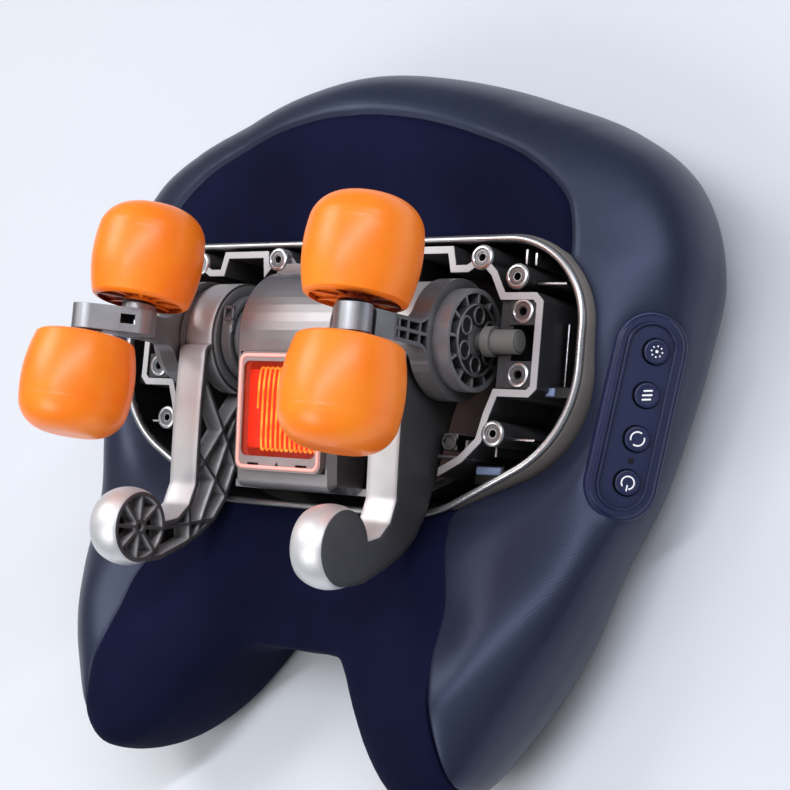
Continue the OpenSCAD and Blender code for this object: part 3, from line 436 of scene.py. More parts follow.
# %% Outline and profile of the pillow, in millimetres and degrees
outline_y = 9.5
crown_r, shoulder_r, side_r, lobe_r, notch_r = 150, 172, 152, 190, 115
belly_z, tip_belly_z, back_inset, tip_inset = 31, 50, 26, 42
outline_knots = np.array([
    (-90, notch_r), (-83, 1.009 * notch_r), (-77, 1.052 * notch_r), (-74, 1.165 * notch_r),
    (-72, 1.304 * notch_r), (-70, 0.874 * lobe_r), (-67, 0.958 * lobe_r), (-63, lobe_r),
    (-58, 0.984 * lobe_r), (-52, 0.937 * lobe_r), (-45, 0.889 * lobe_r), (-38, 1.059 * side_r),
    (-25, 0.987 * side_r), (-12, 0.987 * side_r), (0, side_r), (12, 1.046 * side_r),
    (22, 0.977 * shoulder_r), (35, shoulder_r), (46, 0.965 * shoulder_r),
    (59, 1.047 * crown_r), (75, 1.007 * crown_r), (90, crown_r)], float)
seam_shares = np.array([
    (-90, 1.2), (-61, 1.2), (-58.7, 0.97), (-57, 0.88), (-54, 0.79), (-49, 0.727), (-45, 0.6),
    (-40, 0.545), (0, 0.62), (15, 0.69), (24, 0.72), (34, 0.757), (46, 0.762), (57, 0.757), (90, 0.732)])
edge_powers = np.array([(-90, 2.6), (-62, 3.5), (-25, 3.9), (15, 3.8), (45, 4.4), (90, 4.4)])
edge_drops = np.array([(-90, 2.6), (-62, 3.2), (-25, 3.6), (15, 3.6), (45, 1.25), (90, 1.25)])
belly_heights = np.array([
    (-90, 1.29 * belly_z), (-75, 1.42 * belly_z), (-63, tip_belly_z), (-50, 1.23 * belly_z),
    (-38, 1.1 * belly_z), (0, belly_z), (90, 0.97 * belly_z)])
back_insets = np.array([
    (-90, 0.85 * back_inset), (-83, back_inset), (-74, 1.23 * back_inset), (-66, tip_inset),
    (-57, tip_inset), (-40, back_inset), (90, back_inset)])
# Degrees over which the tables are smoothed: the seam's shares, the belly and inset, the shoulder
seam_reach, belly_reach, shoulder_reach = 1.2, 4, 14
# The front over the machine's plane: each rise, where it starts, and over what length it comes
cloth_over_rim = 5
crown_rise, crown_from, crown_run = 17, 60, 50
chin_rise, chin_from, chin_run = 15, 30, 105
crest_rise, crest_half, crest_from, crest_run = 31, 95, 22, 108


def fold(angle):
    """The same direction on the right half, from -90 at the notch to 90 at the crown."""
    turned = (angle + 180) % 360 - 180
    return np.where(turned > 90, 180 - turned, np.where(turned < -90, -180 - turned, turned))


def along(table, angle, reach):
    """A table's value at an angle: the mean over `reach` degrees to both sides, so that no kink shows."""
    offsets = np.linspace(-reach, reach, 7)
    return sum(np.interp(fold(angle + offset), *table.T) for offset in offsets) / len(offsets)


def outline_radius(angle):
    """Cubic curve through the knots; the slope at a knot is that of the line between its neighbours."""
    before, after = outline_knots[1].copy(), outline_knots[-2].copy()
    before[0], after[0] = -180 - before[0], 180 - after[0]
    known = np.vstack([before, outline_knots, after])
    slopes = (known[2:, 1] - known[:-2, 1]) / (known[2:, 0] - known[:-2, 0])
    place, radius = outline_knots.T
    b = fold(angle)
    i = np.clip(np.searchsorted(place, b, side="right") - 1, 0, len(place) - 2)
    w = place[i + 1] - place[i]
    t = (b - place[i]) / w
    return (radius[i] * (1 + 2 * t) * (1 - t) ** 2 + radius[i + 1] * (3 - 2 * t) * t**2
            + w * t * (1 - t) * ((1 - t) * slopes[i] - t * slopes[i + 1]))


def ease(value):
    """Smooth step from 0 to 1: 3 c^2 - 2 c^3 of the value, clipped to that range."""
    c = np.clip(value, 0, 1)
    return c * c * (3 - 2 * c)


def front_height(x, y):
    """Tilted plane, plus a parabola to the crown, and smooth steps to the chin and to each lobe's crest."""
    t = y - unit_y
    crown = crown_rise * (np.maximum(0, t - crown_from) / crown_run) ** 2
    chin = chin_rise * ease((-t - chin_from) / chin_run)
    crest = crest_rise * ease(abs(x) / crest_half) * ease((-t - crest_from) / crest_run)
    return unit_z + cloth_over_rim + t * math.tan(tilt) + crown + chin + crest


def skin_point(angle, turn):
    """Point of the cover. turn goes from 1 over the middle, by 0 at the widest, to -1 at the back edge. The
    front is an oval, radius * cos ** (2 / power) by rise * sin ** (2 / drop), the back a quarter circle."""
    low = along(belly_heights, angle, belly_reach)
    up = np.radians(np.clip(turn, 0, 1) * 90)
    down = np.radians(90 * (1 + np.clip(turn, -1, 0)))
    r = (outline_radius(angle) * np.cos(up) ** (2 / along(edge_powers, angle, shoulder_reach))
         - along(back_insets, angle, belly_reach) * (1 - np.sin(down)))
    x, y = r * np.cos(np.radians(angle)), outline_y + r * np.sin(np.radians(angle))
    rise = np.sin(up) ** (2 / along(edge_drops, angle, shoulder_reach)) * (front_height(x, y) - low)
    return np.stack([x, y, np.where(turn > 0, low + rise, low * (1 - np.cos(down)))], -1)


# %% [markdown]
# The machine's tray goes through the cover, and its mouth is the hull of six circles. A point
# lies inside such a hull when it lies behind every tangent line, which numpy tests in one step.
# Halving an interval 30 times then finds, for each direction, where the cover meets the tray.


# %% Where the cover meets the tray, and where the panels are sewn
def around(degrees):
    """Unit directions at some angles: (cos, sin)."""
    turn = np.radians(degrees)
    return np.stack([np.cos(turn), np.sin(turn)], -1)


def unit_length(vectors):
    """Vectors divided by their lengths."""
    return vectors / np.maximum(np.linalg.norm(vectors, axis=-1, keepdims=True), 1e-9)


def leaned(points, angle, y0=0.0, z0=0.0):
    """Points turned about X, then moved: y0 + y cos(angle) - z sin(angle), and z0 + y sin + z cos."""
    x, y, z = np.moveaxis(points, -1, 0)
    c, s = math.cos(angle), math.sin(angle)
    return np.stack([x, y0 + y * c - z * s, z0 + y * s + z * c], -1)


def from_unit(points):
    """From the machine's own upright frame to the row frame, in millimetres."""
    return leaned(points, tilt, unit_y, unit_z)


def to_unit(points):
    """From the row frame to the machine's."""
    return leaned(points - np.array([0, unit_y, unit_z]), -tilt)


# Circles of the mouth's right half: x, y and radius
half_mouth = ((86, 29, 37), (73, 14, 50), (46, -1, 50))
mouth_circles = np.array([(side * x, y, r) for side in (-1, 1) for x, y, r in half_mouth])
tangent_lines = around(np.arange(0, 360, 0.5)).T
tangent_reach = (mouth_circles[:, :2] @ tangent_lines + mouth_circles[:, 2:]).max(0)


def outside_mouth(points):
    """How far a point lies outside the tray's mouth, in millimetres, negative inside."""
    return (to_unit(points)[..., :2] @ tangent_lines - tangent_reach).max(-1)


def mouth_turn(angle):
    """The turn at which the cover comes out from under the tray's lip, by halving an interval."""
    low, high = np.zeros_like(angle), np.full_like(angle, 0.999)
    for _ in range(30):
        middle = (low + high) / 2
        outside = outside_mouth(skin_point(angle, middle)) > 0
        low, high = np.where(outside, middle, low), np.where(outside, high, middle)
    return low


over_edge_from, over_edge_run = -58.6, 2.6


def seam_turn(angle):
    """Where the navy front ends: a share of the outline, which runs over the edge near the lobes' tips."""
    share = np.clip(along(seam_shares, angle, seam_reach), 0, 1)
    top = np.degrees(np.arccos(share ** (along(edge_powers, angle, shoulder_reach) / 2))) / 90
    over_edge = ease((over_edge_from - fold(angle)) / over_edge_run)
    return top * (1 - over_edge) - over_edge


# Directions of the grid's columns, closer together where the seam runs over the lobes' tips
tips = np.arange(-63.5, -56.5, 0.15)
angles = np.unique(np.round(np.concatenate([np.arange(-90, 270, 0.75), tips, 180 - tips]), 4))
mouth = mouth_turn(angles)
seam = np.minimum(seam_turn(angles), mouth)
print("cover meets the tray at turn", round(mouth.min(), 3), "to", round(mouth.max(), 3))

# %% [markdown]
# Every new piece is one grid of points or several. Neighbours become quads, and where a grid's
# ends meet, as round a ring, the last row or column is joined to the first.


# %% Mesh from grids of points
def quads_of(rows, columns, wrap):
    """Corner numbers of the quads between neighbours of a grid, and across the ends that `wrap` names."""
    i = np.arange(rows if wrap in ("rows", "both") else rows - 1)[:, None]
    j = np.arange(columns if wrap in ("columns", "both") else columns - 1)[None, :]
    i1, j1 = (i + 1) % rows, (j + 1) % columns
    corners = [i * columns + j, i * columns + j1, i1 * columns + j1, i1 * columns + j]
    return np.stack(np.broadcast_arrays(*corners), -1).reshape(-1, 4)


def clean_up(mesh, sharp):
    """Merges doubles, turns the faces outwards, and shades smooth below an angle in degrees."""
    form = bmesh.new()
    form.from_mesh(mesh)
    bmesh.ops.remove_doubles(form, verts=form.verts, dist=1e-6)
    bmesh.ops.dissolve_degenerate(form, edges=form.edges, dist=1e-7)
    bmesh.ops.recalc_face_normals(form, faces=form.faces)
    form.to_mesh(mesh)
    form.free()
    mesh.polygons.foreach_set("use_smooth", np.ones(len(mesh.polygons), bool))
    mesh.set_sharp_from_angle(angle=math.radians(sharp))


def surface(name, grids, slot, wrap="", body="pillow", finish=None, uv=None, sharp=40):
    """One piece from one or several grids of points in mm. `wrap` is rows, columns, both or nothing."""
    grids = grids if isinstance(grids, list) else [grids]
    starts = np.cumsum([0] + [grid.shape[0] * grid.shape[1] for grid in grids])
    quads = np.concatenate([quads_of(*grid.shape[:2], wrap) + start for grid, start in zip(grids, starts)])
    points = np.concatenate([grid.reshape(-1, 3) for grid in grids])
    mesh = bpy.data.meshes.new(name)
    mesh.from_pydata((points * mm).tolist(), [], quads.tolist())
    if uv is not None:
        layer = mesh.uv_layers.new(name="UVMap")
        layer.data.foreach_set("uv", (uv.reshape(-1, 2)[quads.ravel()] * mm).ravel())
    clean_up(mesh, sharp)
    mesh.materials.append(finish or finish_of[slot])
    made = linked(name, mesh)
    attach(made, body)
    print(name, "faces:", len(mesh.polygons))
    return made


# %% [markdown]
# The control panel lies on the cover's right side, turned to the hand. Round it and round the
# tray the cloth is held down: the points go into the panel's or the machine's own frame, get a
# new height there, and come back.

# %% The panel's place, and the cloth pressed round it and at the tray
panel_lean, panel_roll = 38, 11
panel_angle, panel_turn, panel_sunk = -3.45, 25 / 90, 2.2
panel_long, panel_wide = 79.0, 24.0
panel_straight = (panel_long - panel_wide) / 2
lean = Matrix.Rotation(math.radians(panel_lean), 3, "Y")
panel_axes = np.array(lean @ Matrix.Rotation(math.radians(panel_roll), 3, "X"))
panel_place = skin_point(np.array([panel_angle]), np.array([panel_turn]))[0] - panel_sunk * panel_axes[:, 2]
print("panel's middle, mm:", panel_place.round(1))


def on_panel(points):
    """From the panel's own frame, with its face up, to the row frame."""
    return panel_place + points @ panel_axes.T


panel_dip, panel_dip_reach, plate_inset, behind_plate, panel_near = 1.6, 3.0, 2.2, 2.4, 15


def press_under_panel(points):
    """Cloth dips along the panel's edge by dip * exp(-distance / reach). Inside it lies behind the plate."""
    local = (points - panel_place) @ panel_axes
    off = np.hypot(local[..., 0], np.maximum(abs(local[..., 1]) - panel_straight, 0)) - panel_wide / 2
    near = abs(local[..., 2]) < panel_near
    dip = panel_dip * np.exp(-np.maximum(off, 0) / panel_dip_reach) * near
    behind = np.minimum(local[..., 2], -behind_plate)
    local[..., 2] = np.where((off < -plate_inset) & near, behind, local[..., 2] - dip)
    return on_panel(local)


lip_height, slope_from_lip, soft_turn = 3.9, 0.5, 2.5
flank_dip, flank_dip_reach, least_height = 8.0, 11, 0.3
flank_from, flank_run, flank_top, flank_drop = 62, 45, 36, 60


def press_at_mouth(points):
    """Near the tray the cloth stays below a slope that starts at the lip, and dips on the flanks. The lower
    of the two heights is taken with a soft turn: most - s * ln(1 + exp((most - height) / s))."""
    local = to_unit(points)
    away = np.maximum(outside_mouth(points), 0)
    flank = (ease((abs(points[..., 0]) - flank_from) / flank_run)
             * ease((flank_top - points[..., 1]) / flank_drop))
    most = lip_height + slope_from_lip * away
    # exp's power is held at 40. That also raises what lies over 40 * soft_turn below the slope, so the
    # band's back edge at the crown stands up to 13 mm off the back panel.
    gap = np.clip((most - local[..., 2]) / soft_turn, -40, 40)
    dip = flank_dip * np.exp(-((away / flank_dip_reach) ** 2)) * flank
    local[..., 2] = most - soft_turn * np.log1p(np.exp(gap)) - dip
    pressed = from_unit(local)
    pressed[..., 2] = np.maximum(pressed[..., 2], least_height)
    return pressed


# %% [markdown]
# Each panel is a grid: one direction runs round the pillow, the other across it. The points are
# moved along the surface's normal: into a groove at the seam, where the thread pulls the cloth
# down, and out between the seams, where the foam fills it. A hem turns down beside the tray.
# The lengths along the grid become the UV map, so that the knit's threads follow the cloth.

# %% Cover panel and its hem
panel_rows, close_rows, close_span = 84, 6, 0.05
puff, puff_reach, groove, groove_reach = 1.2, 9, 1.3, 1.6
hem_depths, hem_leans = np.array([9.0, 5.0, 2.2, 0.8]), np.array([0.5, 0.45, 0.35, 0.1])


def lengths_along(points, axis):
    """Distance from the grid's start along one direction: the running sum of its steps."""
    steps = np.diff(points, axis=axis, prepend=points.take([0], axis))
    return np.linalg.norm(steps, axis=-1).cumsum(axis)


def skin_normal(angle, turn):
    """Cross product of the skin's two directions, each from two points close together."""
    round_it = skin_point(angle + 0.1, turn) - skin_point(angle - 0.1, turn)
    over_it = skin_point(angle, np.minimum(turn + 0.002, 0.998)) - skin_point(angle, turn - 0.002)
    return unit_length(np.cross(round_it, over_it))


def cover_panel(span, start, end, sewn_side):
    """Panel between two turns, start above end. Its rows are shared with the panel beyond the seam: they
    run evenly from the tray to the back, are cut at the seam, and a few rows follow the seam closely."""
    whole = np.maximum(mouth_turn(span), seam_turn(span))
    common = whole + (-1 - whole) * np.linspace(0, 1, panel_rows)[:, None]
    close = close_span * (np.linspace(0, 1, close_rows) ** 1.6)[:, None]
    if sewn_side == "end":
        turn = np.concatenate([np.maximum(common[:-1], end + close[-1]), end + close[::-1]])
        turn = np.minimum(turn, start)
    else:
        turn = np.concatenate([start - close, np.minimum(common[1:], start - close[-1])])
        turn = np.maximum(turn, end)
    angle = np.broadcast_to(span, turn.shape)
    points, out = skin_point(angle, turn), skin_normal(angle, turn)
    middle = np.array([0, outline_y, 20])
    out = out * np.where(np.sum(out * (points - middle), -1, keepdims=True) < 0, -1, 1)
    across_mm = lengths_along(points, 0)
    to_end = across_mm[-1:] - across_mm
    edge = to_end if sewn_side == "end" else np.minimum(across_mm, to_end)
    shift = puff * (1 - np.exp(-edge / puff_reach)) - groove * np.exp(-((edge / groove_reach) ** 2))
    points = press_at_mouth(press_under_panel(points + out * shift[..., None]))
    round_mm = np.broadcast_to(lengths_along(skin_point(angle, 0 * turn), 1)[:1], turn.shape)
    return points, np.stack([round_mm, across_mm], -1)


def with_hem(points, uv):
    """Adds rows at the start of a panel that turn down beside the tray, each leaning in a little."""
    down = from_unit(np.array([0.0, 0, -1])) - from_unit(np.zeros(3))
    inwards = unit_length((np.array([0, outline_y, 0]) - points[0]) * (1, 1, 0))
    hem = points[0] + down * hem_depths[:, None, None] + inwards * hem_leans[:, None, None]
    extra = np.repeat(uv[:1], len(hem_depths), axis=0)
    extra[..., 1] -= hem_depths[:, None]
    return np.concatenate([hem, points]), np.concatenate([extra, uv])


# %% The four panels
cloth_thickness, least_width = 1.6, 0.004


def sewn(panel):
    """Gives the cloth its thickness inwards, so that its edges are closed."""
    wall = panel.modifiers.new("thickness", "SOLIDIFY")
    wall.thickness = cloth_thickness * mm
    wall.offset = -1


closed = np.concatenate([angles, angles[:1] + 360])
shut = np.concatenate([np.arange(len(angles)), [0]])
back_edge = np.full(len(closed), -1.0)
side_points, side_uv = cover_panel(closed, seam[shut], back_edge, "start")
side_band = surface("side_band", side_points, "side_fabric", uv=side_uv)
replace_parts(side_band, "side_cover", "foam_core")
sewn(side_band)

halves = np.where(angles > 180, angles - 360, angles)
order = np.argsort(halves)
for label, first, last, hidden in (
        ("crown_panel", 0, 180, "crown_cover"), ("lobe_panel", -180, 0, "lobe_cover")):
    span = halves[order]
    inside = order[(span >= first) & (span <= last) & (mouth[order] - seam[order] > least_width)]
    points, uv = with_hem(*cover_panel(halves[inside], mouth[inside], seam[inside], "end"))
    front = surface(label, points, "front_fabric", uv=uv)
    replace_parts(front, hidden)
    sewn(front)

# The back is flat: rings that shrink from the side band's lower edge to the middle
shrink = np.linspace(0, 1, 24) ** 0.8
centre = np.array([0, outline_y, 0.0])
back_points = centre + (skin_point(closed, back_edge) - centre)[None] * shrink[:, None, None]
back_points[..., 2] = 0.0
back_panel = surface("back_panel", back_points, "side_fabric", uv=back_points[..., :2])
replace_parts(back_panel, "back_cover")
sewn(back_panel)

# %% [markdown]
# ## The tray's lip and skirt
# The lip is a rolled aluminium strip. A CAD ring has square edges, and a rolled one has not, so
# a rounded section is carried round the mouth: for each direction the outline's point is the
# centre of the circle that reaches furthest, plus its radius along that direction. The same
# outline carries the grey skirt that closes the gap between tray and cloth.


# %% Sections carried round the mouth
def carried(outline, out, section):
    """Section of (outward, height) carried round an outline: point + direction * outward, at each height."""
    section = np.array(section, float)
    flat = outline[:, None] + out[:, None] * section[None, :, :1]
    height = np.broadcast_to(section[:, 1], flat.shape[:2])
    return np.concatenate([flat, height[..., None]], -1)


def round_mouth(section):
    """Section carried round the tray's mouth in steps of 1 degree."""
    out = around(np.arange(0, 360, 1.0))
    furthest = mouth_circles[(mouth_circles[:, :2] @ out.T + mouth_circles[:, 2:]).argmax(0)]
    return from_unit(carried(furthest[:, :2] + furthest[:, 2:] * out, out, section))


rim_section = [
    (0.1, 3.4), (0.5, 4.0), (0.6, 5.0), (0.2, 5.8), (-0.6, 6.15), (-1.5, 6.1), (-2.2, 5.6), (-2.5, 4.6),
    (-2.6, 3.4)]
rolled_lip = surface("rolled_lip", round_mouth(rim_section), "rim_metal", "both", sharp=60)
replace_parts(rolled_lip, "rim_trim")
skirt_section = [
    (0.05, 3.4), (0.9, 3.3), (1.3, 2.6), (2.4, -3.0), (3.2, -8.0), (3.2, -18.0), (2.6, -19.0), (0.05, -19.0)]
surface("tray_skirt", round_mouth(skirt_section), "tray_plastic", "both", finish=skirt_rubber)

# %% [markdown]
# ## Wire, strokes, turned pieces and blocks
# A wire is a circle carried along a path, standing square to it at every point. With a flattened
# circle and ends that shrink to a point, the same function draws the printed strokes on the
# buttons. A turned piece is a profile carried once round an axis, and a block is a section with
# rounded corners carried round a rounded rectangle.


# %% Tube, stroke, turned piece and block
def tube(path, radius, up=(0, 0, 1), flat=1.0):
    """Ring at each point: cos * side + flat * sin * lift, where side = up x ahead and lift = ahead x side."""
    ahead = unit_length(np.gradient(path, axis=0))
    across = unit_length(np.cross(up, ahead))
    lift = np.cross(ahead, across)
    turn = np.radians(np.arange(0, 360, 36))[None, :, None]
    size = np.broadcast_to(radius, len(path))[:, None, None]
    return path[:, None] + size * (np.cos(turn) * across[:, None] + flat * np.sin(turn) * lift[:, None])


def stroke(path, width, flat=0.25):
    """A flattened tube with round ends: radius = w * sqrt(2 s / w - (s / w)^2) where s < w from an end."""
    steps = np.linalg.norm(np.diff(path, axis=0), axis=1)
    place = np.concatenate([[0], np.cumsum(steps)])
    w = width / 2
    fine = np.unique(np.concatenate([place, np.linspace(0, w, 7), place[-1] - np.linspace(0, w, 7)]))
    path = np.stack([np.interp(fine, place, path[:, k]) for k in range(3)], -1)
    share = np.clip(np.minimum(fine, place[-1] - fine) / w, 0, 1)
    return tube(path, np.maximum(w * np.sqrt(2 * share - share**2), 0.001), flat=flat)


def turned(profile, steps=64):
    """Points of (radius, height) carried once round z."""
    return carried(np.zeros((steps, 2)), around(np.arange(steps) * (360 / steps)), profile)


def rounded_corners(half, corner, steps):
    """Rectangle with quarter circles for corners: their centres, and the directions from them, all round."""
    signs = np.repeat([[1, 1], [-1, 1], [-1, -1], [1, -1]], steps + 1, axis=0)
    turn = np.concatenate([quarter * 90 + np.linspace(0, 90, steps + 1) for quarter in range(4)])
    return signs * (half - corner), around(turn)


def block(low, high, corner, steps=3):
    """A box with rounded edges: its outline shrinks along a quarter circle towards each end."""
    low, high = np.minimum(low, high), np.maximum(low, high)
    half, middle = (high - low) / 2, (high + low) / 2
    bend = np.radians(np.linspace(90, 0, steps + 1))
    top = np.stack([corner * np.cos(bend), half[2] - corner + corner * np.sin(bend)], -1)
    section = np.concatenate([top, top[::-1] * (1, -1)])
    rows = carried(*rounded_corners(half[:2], corner, steps), section).swapaxes(0, 1)
    ends = [np.broadcast_to([0, 0, z], rows[:1].shape) for z in (half[2], -half[2])]
    return middle + np.concatenate([ends[0], rows, ends[1]])


# %% [markdown]
# ## Heating coil
# The element is a resistance wire wound flat round a mica card: up the front of the card, over
# its edge and down the back, twelve times. A rounded oval of power 3 gives the straight runs
# and the tight turns, and moving along steadily gives the winding. A bead with a painted glow
# runs round the window's frame, and a small dark mark sits below it.

# %% Coil
coil_turns, coil_pitch, coil_half_h, coil_half_d, wire_r = 12, 2.6, 17.5, 1.9, 0.45
coil_rise, coil_behind = 1, 5.4
window_y, window_z, window_lean = -12.0, 35.6, math.radians(4.6)


def from_window(points):
    """From the window's own upright frame to the row frame."""
    return from_unit(leaned(points, window_lean, window_y, window_z))


t = np.linspace(0, coil_turns, coil_turns * 60 + 1)
swing, depth = np.sin(2 * np.pi * t), np.cos(2 * np.pi * t)
winding = np.stack([
    (t - coil_turns / 2) * coil_pitch,
    coil_rise + coil_half_h * np.sign(swing) * abs(swing) ** (2 / 3),
    coil_half_d * np.sign(depth) * abs(depth) ** (2 / 3) - coil_behind], -1)
wire = from_window(tube(winding, wire_r, up=(1, 0, 0)))
coil = surface("wound_coil", wire, "coil_wire", "columns", sharp=80)
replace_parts(coil, "heating_coil")
print("wire length, mm:", round(float(np.linalg.norm(np.diff(winding, axis=0), axis=1).sum())))

# %% Bead with a painted glow round the window, and the mark below it
heater_w, heater_h, frame_front = 46.0, 50.0, 1.4
bead_inset, bead_corner, bead_r, mark_rise = 1.5, 3.0, 0.75, 2.5
corner_centres, out = rounded_corners(np.array([heater_w, heater_h]) / 2 - bead_inset, bead_corner, 8)
bead_section = bead_r * around(np.arange(0, 360, 36)) + (0, frame_front)
bead = carried(corner_centres + bead_corner * out, out, bead_section)
surface("window_bead", from_window(bead), "heater_plastic", "both", finish=glow_bead)
mark = turned([(0, 0.25), (1.3, 0.2), (1.5, -0.2), (0, -0.3)], 3)[..., [1, 0, 2]]
mark_place = np.array([0.0, mark_rise - heater_h / 2, frame_front])
surface("window_mark", from_window(mark + mark_place), "heater_plastic", "rows", finish=tray_plastic)

# %% [markdown]
# ## Buttons and the panel's stepped edge
# Each button is a moulded cap with a soft edge and a slight dish for the fingertip, so it is
# turned from a profile. The signs on them are generic: a power sign, two arcs for the
# direction, bars for the mode and a ring of dots for the heat. They are raised a little, as
# printed ink never is, so that they are shapes in the mesh too.

# %% Caps and signs
button_pitch, button_shift, button_top = 17.4, 2.0, 4.0
thin_line, bar_line, bar_pitch = 0.62, 0.75, 1.75
power_r, arcs_r, dots_r = 2.5, 2.7, 2.15


def arc(radius, first, last, steps=25):
    """Points on a circle in the panel's plane, from one angle to another."""
    return np.pad(radius * around(np.linspace(first, last, steps)), ((0, 0), (0, 1)))


def straight(angle, length, middle):
    """A straight path through a point, at an angle in degrees."""
    half = np.append(around(angle), 0) * length / 2
    middle = np.array([*middle, 0.0])
    return np.linspace(middle - half, middle + half, 5)


def dot(inner, outer, steps):
    """A lens-shaped dot: a disc, thinner beyond its inner radius."""
    return turned([(0, 0.12), (inner, 0.1), (outer, 0), (inner, -0.1), (0, -0.12)], steps)


signs = {
    "power_button": [
        stroke(arc(power_r, -75, 225), thin_line), stroke(straight(90, 2.6, (0, -2.1)), thin_line)],
    "direction_button": [stroke(arc(arcs_r, first, first + 145), thin_line) for first in (60, 240)],
    "mode_button": [
        stroke(straight(15, 4.2 - abs(k) * 0.4, (0, k * bar_pitch)), bar_line) for k in (-1, 0, 1)],
    "heat_button": [dot(0.25, 0.36, 16) + place for place in arc(dots_r, 0, 315, 8)] + [dot(0.5, 0.62, 20)]}
cap_profile = [
    (0, -0.15), (2.5, -0.12), (3.9, 0.02), (4.5, 0.05), (4.8, -0.1), (4.97, -0.4), (5.0, -0.9), (5.0, -2.6),
    (4.8, -2.8), (0, -2.8)]
for row, (button, strokes) in zip((-1.5, -0.5, 0.5, 1.5), signs.items()):
    place = np.array([button_shift, row * button_pitch, button_top])
    cap = on_panel(turned(cap_profile) + place)
    sign = [on_panel(grid + place) for grid in strokes]
    wrap = "rows" if button == "heat_button" else "columns"
    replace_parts(surface(button + "_cap", cap, "panel_plastic", "rows", button, sharp=50), button)
    surface(button + "_sign", sign, "lens", wrap, button, white_print, sharp=60)


# %% The panel's stepped edge and inner bead
def round_panel(section, steps=24):
    """Section of (outward, height) carried round the panel's outline, two half circles and two straights."""
    out = around(np.concatenate([np.linspace(0, 180, steps), np.linspace(180, 360, steps)]))
    centres = np.repeat([[0, panel_straight], [0, -panel_straight]], steps, axis=0)
    return on_panel(carried(centres + out * panel_wide / 2, out, section))


bezel_section = [
    (-0.3, 3.5), (0.3, 3.2), (0.9, 2.5), (1.1, 2.2), (1.7, 2.1), (2.1, 1.7), (2.3, 0.9), (2.3, -3.0),
    (-0.3, -3.0)]
surface("panel_bezel", round_panel(bezel_section), "panel_plastic", "both", sharp=35)
inner_section = [(-3.2, 3.75), (-2.9, 4.05), (-2.3, 4.05), (-2.0, 3.75), (-2.0, 2.9), (-3.2, 2.9)]
surface("panel_inner_bead", round_panel(inner_section), "panel_plastic", "both", sharp=35)

# %% [markdown]
# ## Small parts in the tray
# Thin ribs tie the case's bosses to the tray, ledges with pale pads lie beside it, a slotted
# strap goes round each hub's neck, and a stop stands beside each roller arm. They are rounded
# blocks and rings, because sheet metal and moulded ribs have no sharp edges. A box is given by
# two corners on the right side, in the machine's own frame, and made on both sides. The bosses'
# tops and the hubs' round cells get raised bright rings, as a lathe leaves them.


# %% Blocks and rings on both sides
def boxes(side, corners, edge):
    """Rounded blocks between pairs of corners, in the machine's frame, on the side 1 or -1."""
    return [from_unit(block(np.array(low) * (side, 1, 1), np.array(high) * (side, 1, 1), edge))
            for low, high in corners]


def ring(profile, steps):
    """A turned piece with a closed section, its last row on its first."""
    whole = turned(profile, steps)
    return np.concatenate([whole, whole[:1]])


# %% Ribs, ledges and pads
rib_boxes = [
    ((94.0, 54.0, -34), (95.2, 60.5, 5.0)), ((98.5, 53.5, -34), (99.7, 59.0, 5.0)),
    ((99.0, 46.0, -34), (113.0, 47.2, 3.0)), ((93.0, -17.0, -34), (104.0, -15.8, 3.0)),
    ((86.5, -24.0, -34), (87.7, -19.0, 4.0)), ((108.5, 6.0, -34), (109.7, 32.0, -8.0))]
ledge_boxes = [((75.0, -35.5, -3.0), (88.6, -27.2, -0.6)), ((104.4, 1.0, -3.0), (119.0, 5.8, -0.6))]
pad_boxes = [((75.8, -31.4, -1.6), (87.8, -27.9, 0.2)), ((105.0, 1.6, -1.6), (109.6, 5.2, 0.2))]
for label, corners, edge, finish in (
        ("tray_ribs", rib_boxes, 0.4, satin_metal), ("tray_ledges", ledge_boxes, 0.8, tray_plastic),
        ("contact_pads", pad_boxes, 0.8, pad_plastic)):
    both_sides = boxes(-1, corners, edge) + boxes(1, corners, edge)
    surface(label, both_sides, "tray_plastic", "columns", finish=finish)

# %% Latch straps, stops and boss rings
shaft_y, strap_x = 22.0, 40.6
strap_section = [
    (17.2, -2.6), (17.0, -2.2), (17.0, 2.2), (17.2, 2.6), (18.8, 2.6), (19.2, 2.2), (19.2, -2.2),
    (18.8, -2.6)]
# Flat frame on the strap with two open slots, and the foot that holds the strap to the case's floor
latch_boxes = [
    ((37.6, 21.5, 27.2), (38.8, 34.0, 28.8)), ((42.2, 21.5, 27.2), (43.4, 34.0, 28.8)),
    ((37.6, 21.5, 27.2), (43.4, 23.0, 28.8)), ((37.6, 27.2, 27.2), (43.4, 28.8, 28.8)),
    ((37.6, 32.6, 27.2), (43.4, 34.0, 28.8)), ((38.5, 19.0, -18.0), (43.0, 25.0, -8.6))]
stop_boxes = [
    ((64.0, -22.5, -18.0), (71.0, -15.5, 8.0)), ((62.8, -26.0, 5.0), (77.0, -24.6, 9.5)),
    ((75.6, -26.0, -18.0), (77.0, -18.0, 9.5))]
stop_x, stop_y, stop_top = 67.5, -19.0, 7.9
ring_profile = [(3.5, 0.0), (3.55, 0.5), (3.9, 0.8), (4.6, 0.8), (5.1, 0.5), (5.2, 0.0)]
seat_profile = [(2.1, 0.02), (3.55, 0.02), (3.55, 0.3), (2.1, 0.3)]
bosses = [(76.6, 56.5, 9.8), (94.0, 48.5, 9.8), (88.5, -15.0, 9.8), (28.2, 57.0, 13.0), (97.5, 34.5, 9.0),
          (97.5, 9.0, 9.0)]
latches, stops, rings, seats = [], [], [], []
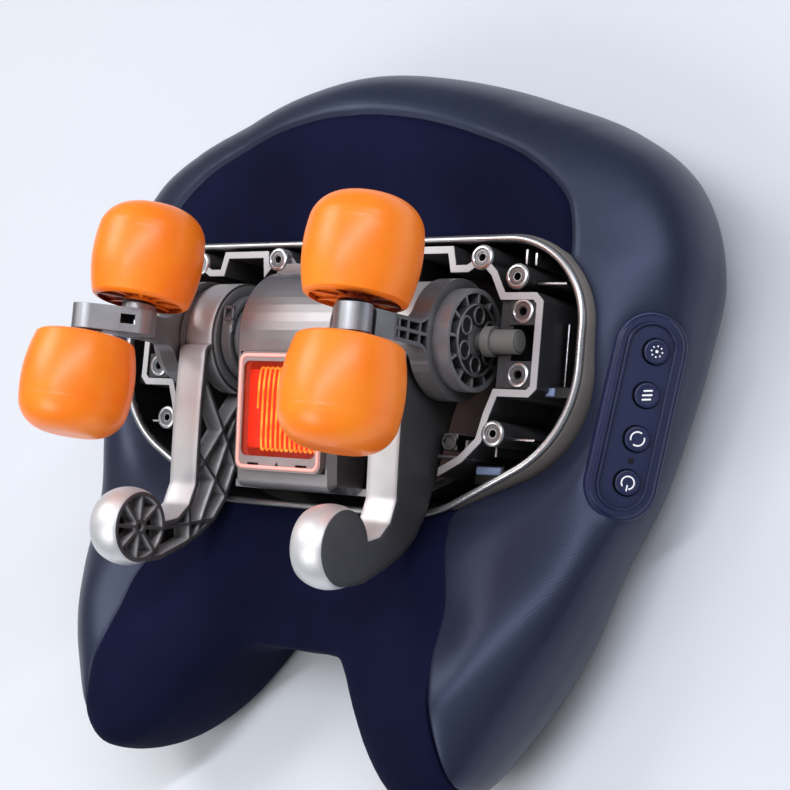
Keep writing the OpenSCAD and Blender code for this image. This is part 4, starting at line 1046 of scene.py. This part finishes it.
for side in (-1, 1):
    hoop = ring(strap_section, 72)[..., [2, 0, 1]]
    latches += [from_unit(hoop + np.array([side * strap_x, shaft_y, shaft_height]))]
    latches += boxes(side, latch_boxes, 0.35)
    stops += boxes(side, stop_boxes, 0.6)
    pin_place = np.array([side * stop_x, stop_y, stop_top])
    stops += [from_unit(ring(ring_profile, 40) * (0.7, 0.7, 1.6) + pin_place)]
    for x, y, top in bosses:
        place = np.array([side * x, y, top])
        rings += [from_unit(ring(ring_profile, 40) * (0.98, 0.98, 1) + place)]
        seats += [from_unit(ring(seat_profile, 40) + place)]

for label, grids, slot in (
        ("latch_straps", latches, "dark_metal"), ("arm_stops", stops, "dark_metal"),
        ("boss_rings", rings, "satin_metal"), ("boss_seats", seats, "motor_steel")):
    surface(label, grids, slot, "columns")

# %% Bright cell rings on the hubs' outer faces, on a disc of painted shade
hub_face, hub_lift, cell_circle = 79.0, 3.0, 10.0
shade_disc_profile = [(6.6, -0.3), (6.6, 0.25), (14.0, 0.25), (14.0, -0.3)]


def raised(r1, r2):
    """Section of a ring from radius r1 to r2, 1 mm high and with bevelled edges."""
    return [(r1, 0), (r1 + 0.05, 0.8), (r1 + 0.3, 1), (r2 - 0.3, 1), (r2 - 0.05, 0.8), (r2, 0)]


def on_hub(side, profile, steps, offset=(0, 0)):
    """A ring round the X axis on the outer face of the hub on the side 1 or -1."""
    place = np.array([side * hub_face, shaft_y + offset[0], shaft_height + hub_lift + offset[1]])
    return from_unit(ring(profile, steps)[..., [2, 0, 1]] * (side, 1, 1) + place)


for side, hand in ((1, "right"), (-1, "left")):
    offsets = cell_circle * around(np.arange(0, 360, 60))
    cells = [on_hub(side, raised(13.8, 15), 64)]
    cells += [on_hub(side, raised(3, 4.1), 32, offset) for offset in offsets]
    # The dark disc under the cell rings is painted shade, standing for the depth of the hubs' cells.
    plate = on_hub(side, shade_disc_profile, 64)
    surface(hand + "_cell_rings", cells, "hub_plastic", "columns", "drive", cover_metal)
    surface(hand + "_cell_painted_shade", plate, "hub_plastic", "columns", "drive", tray_plastic)
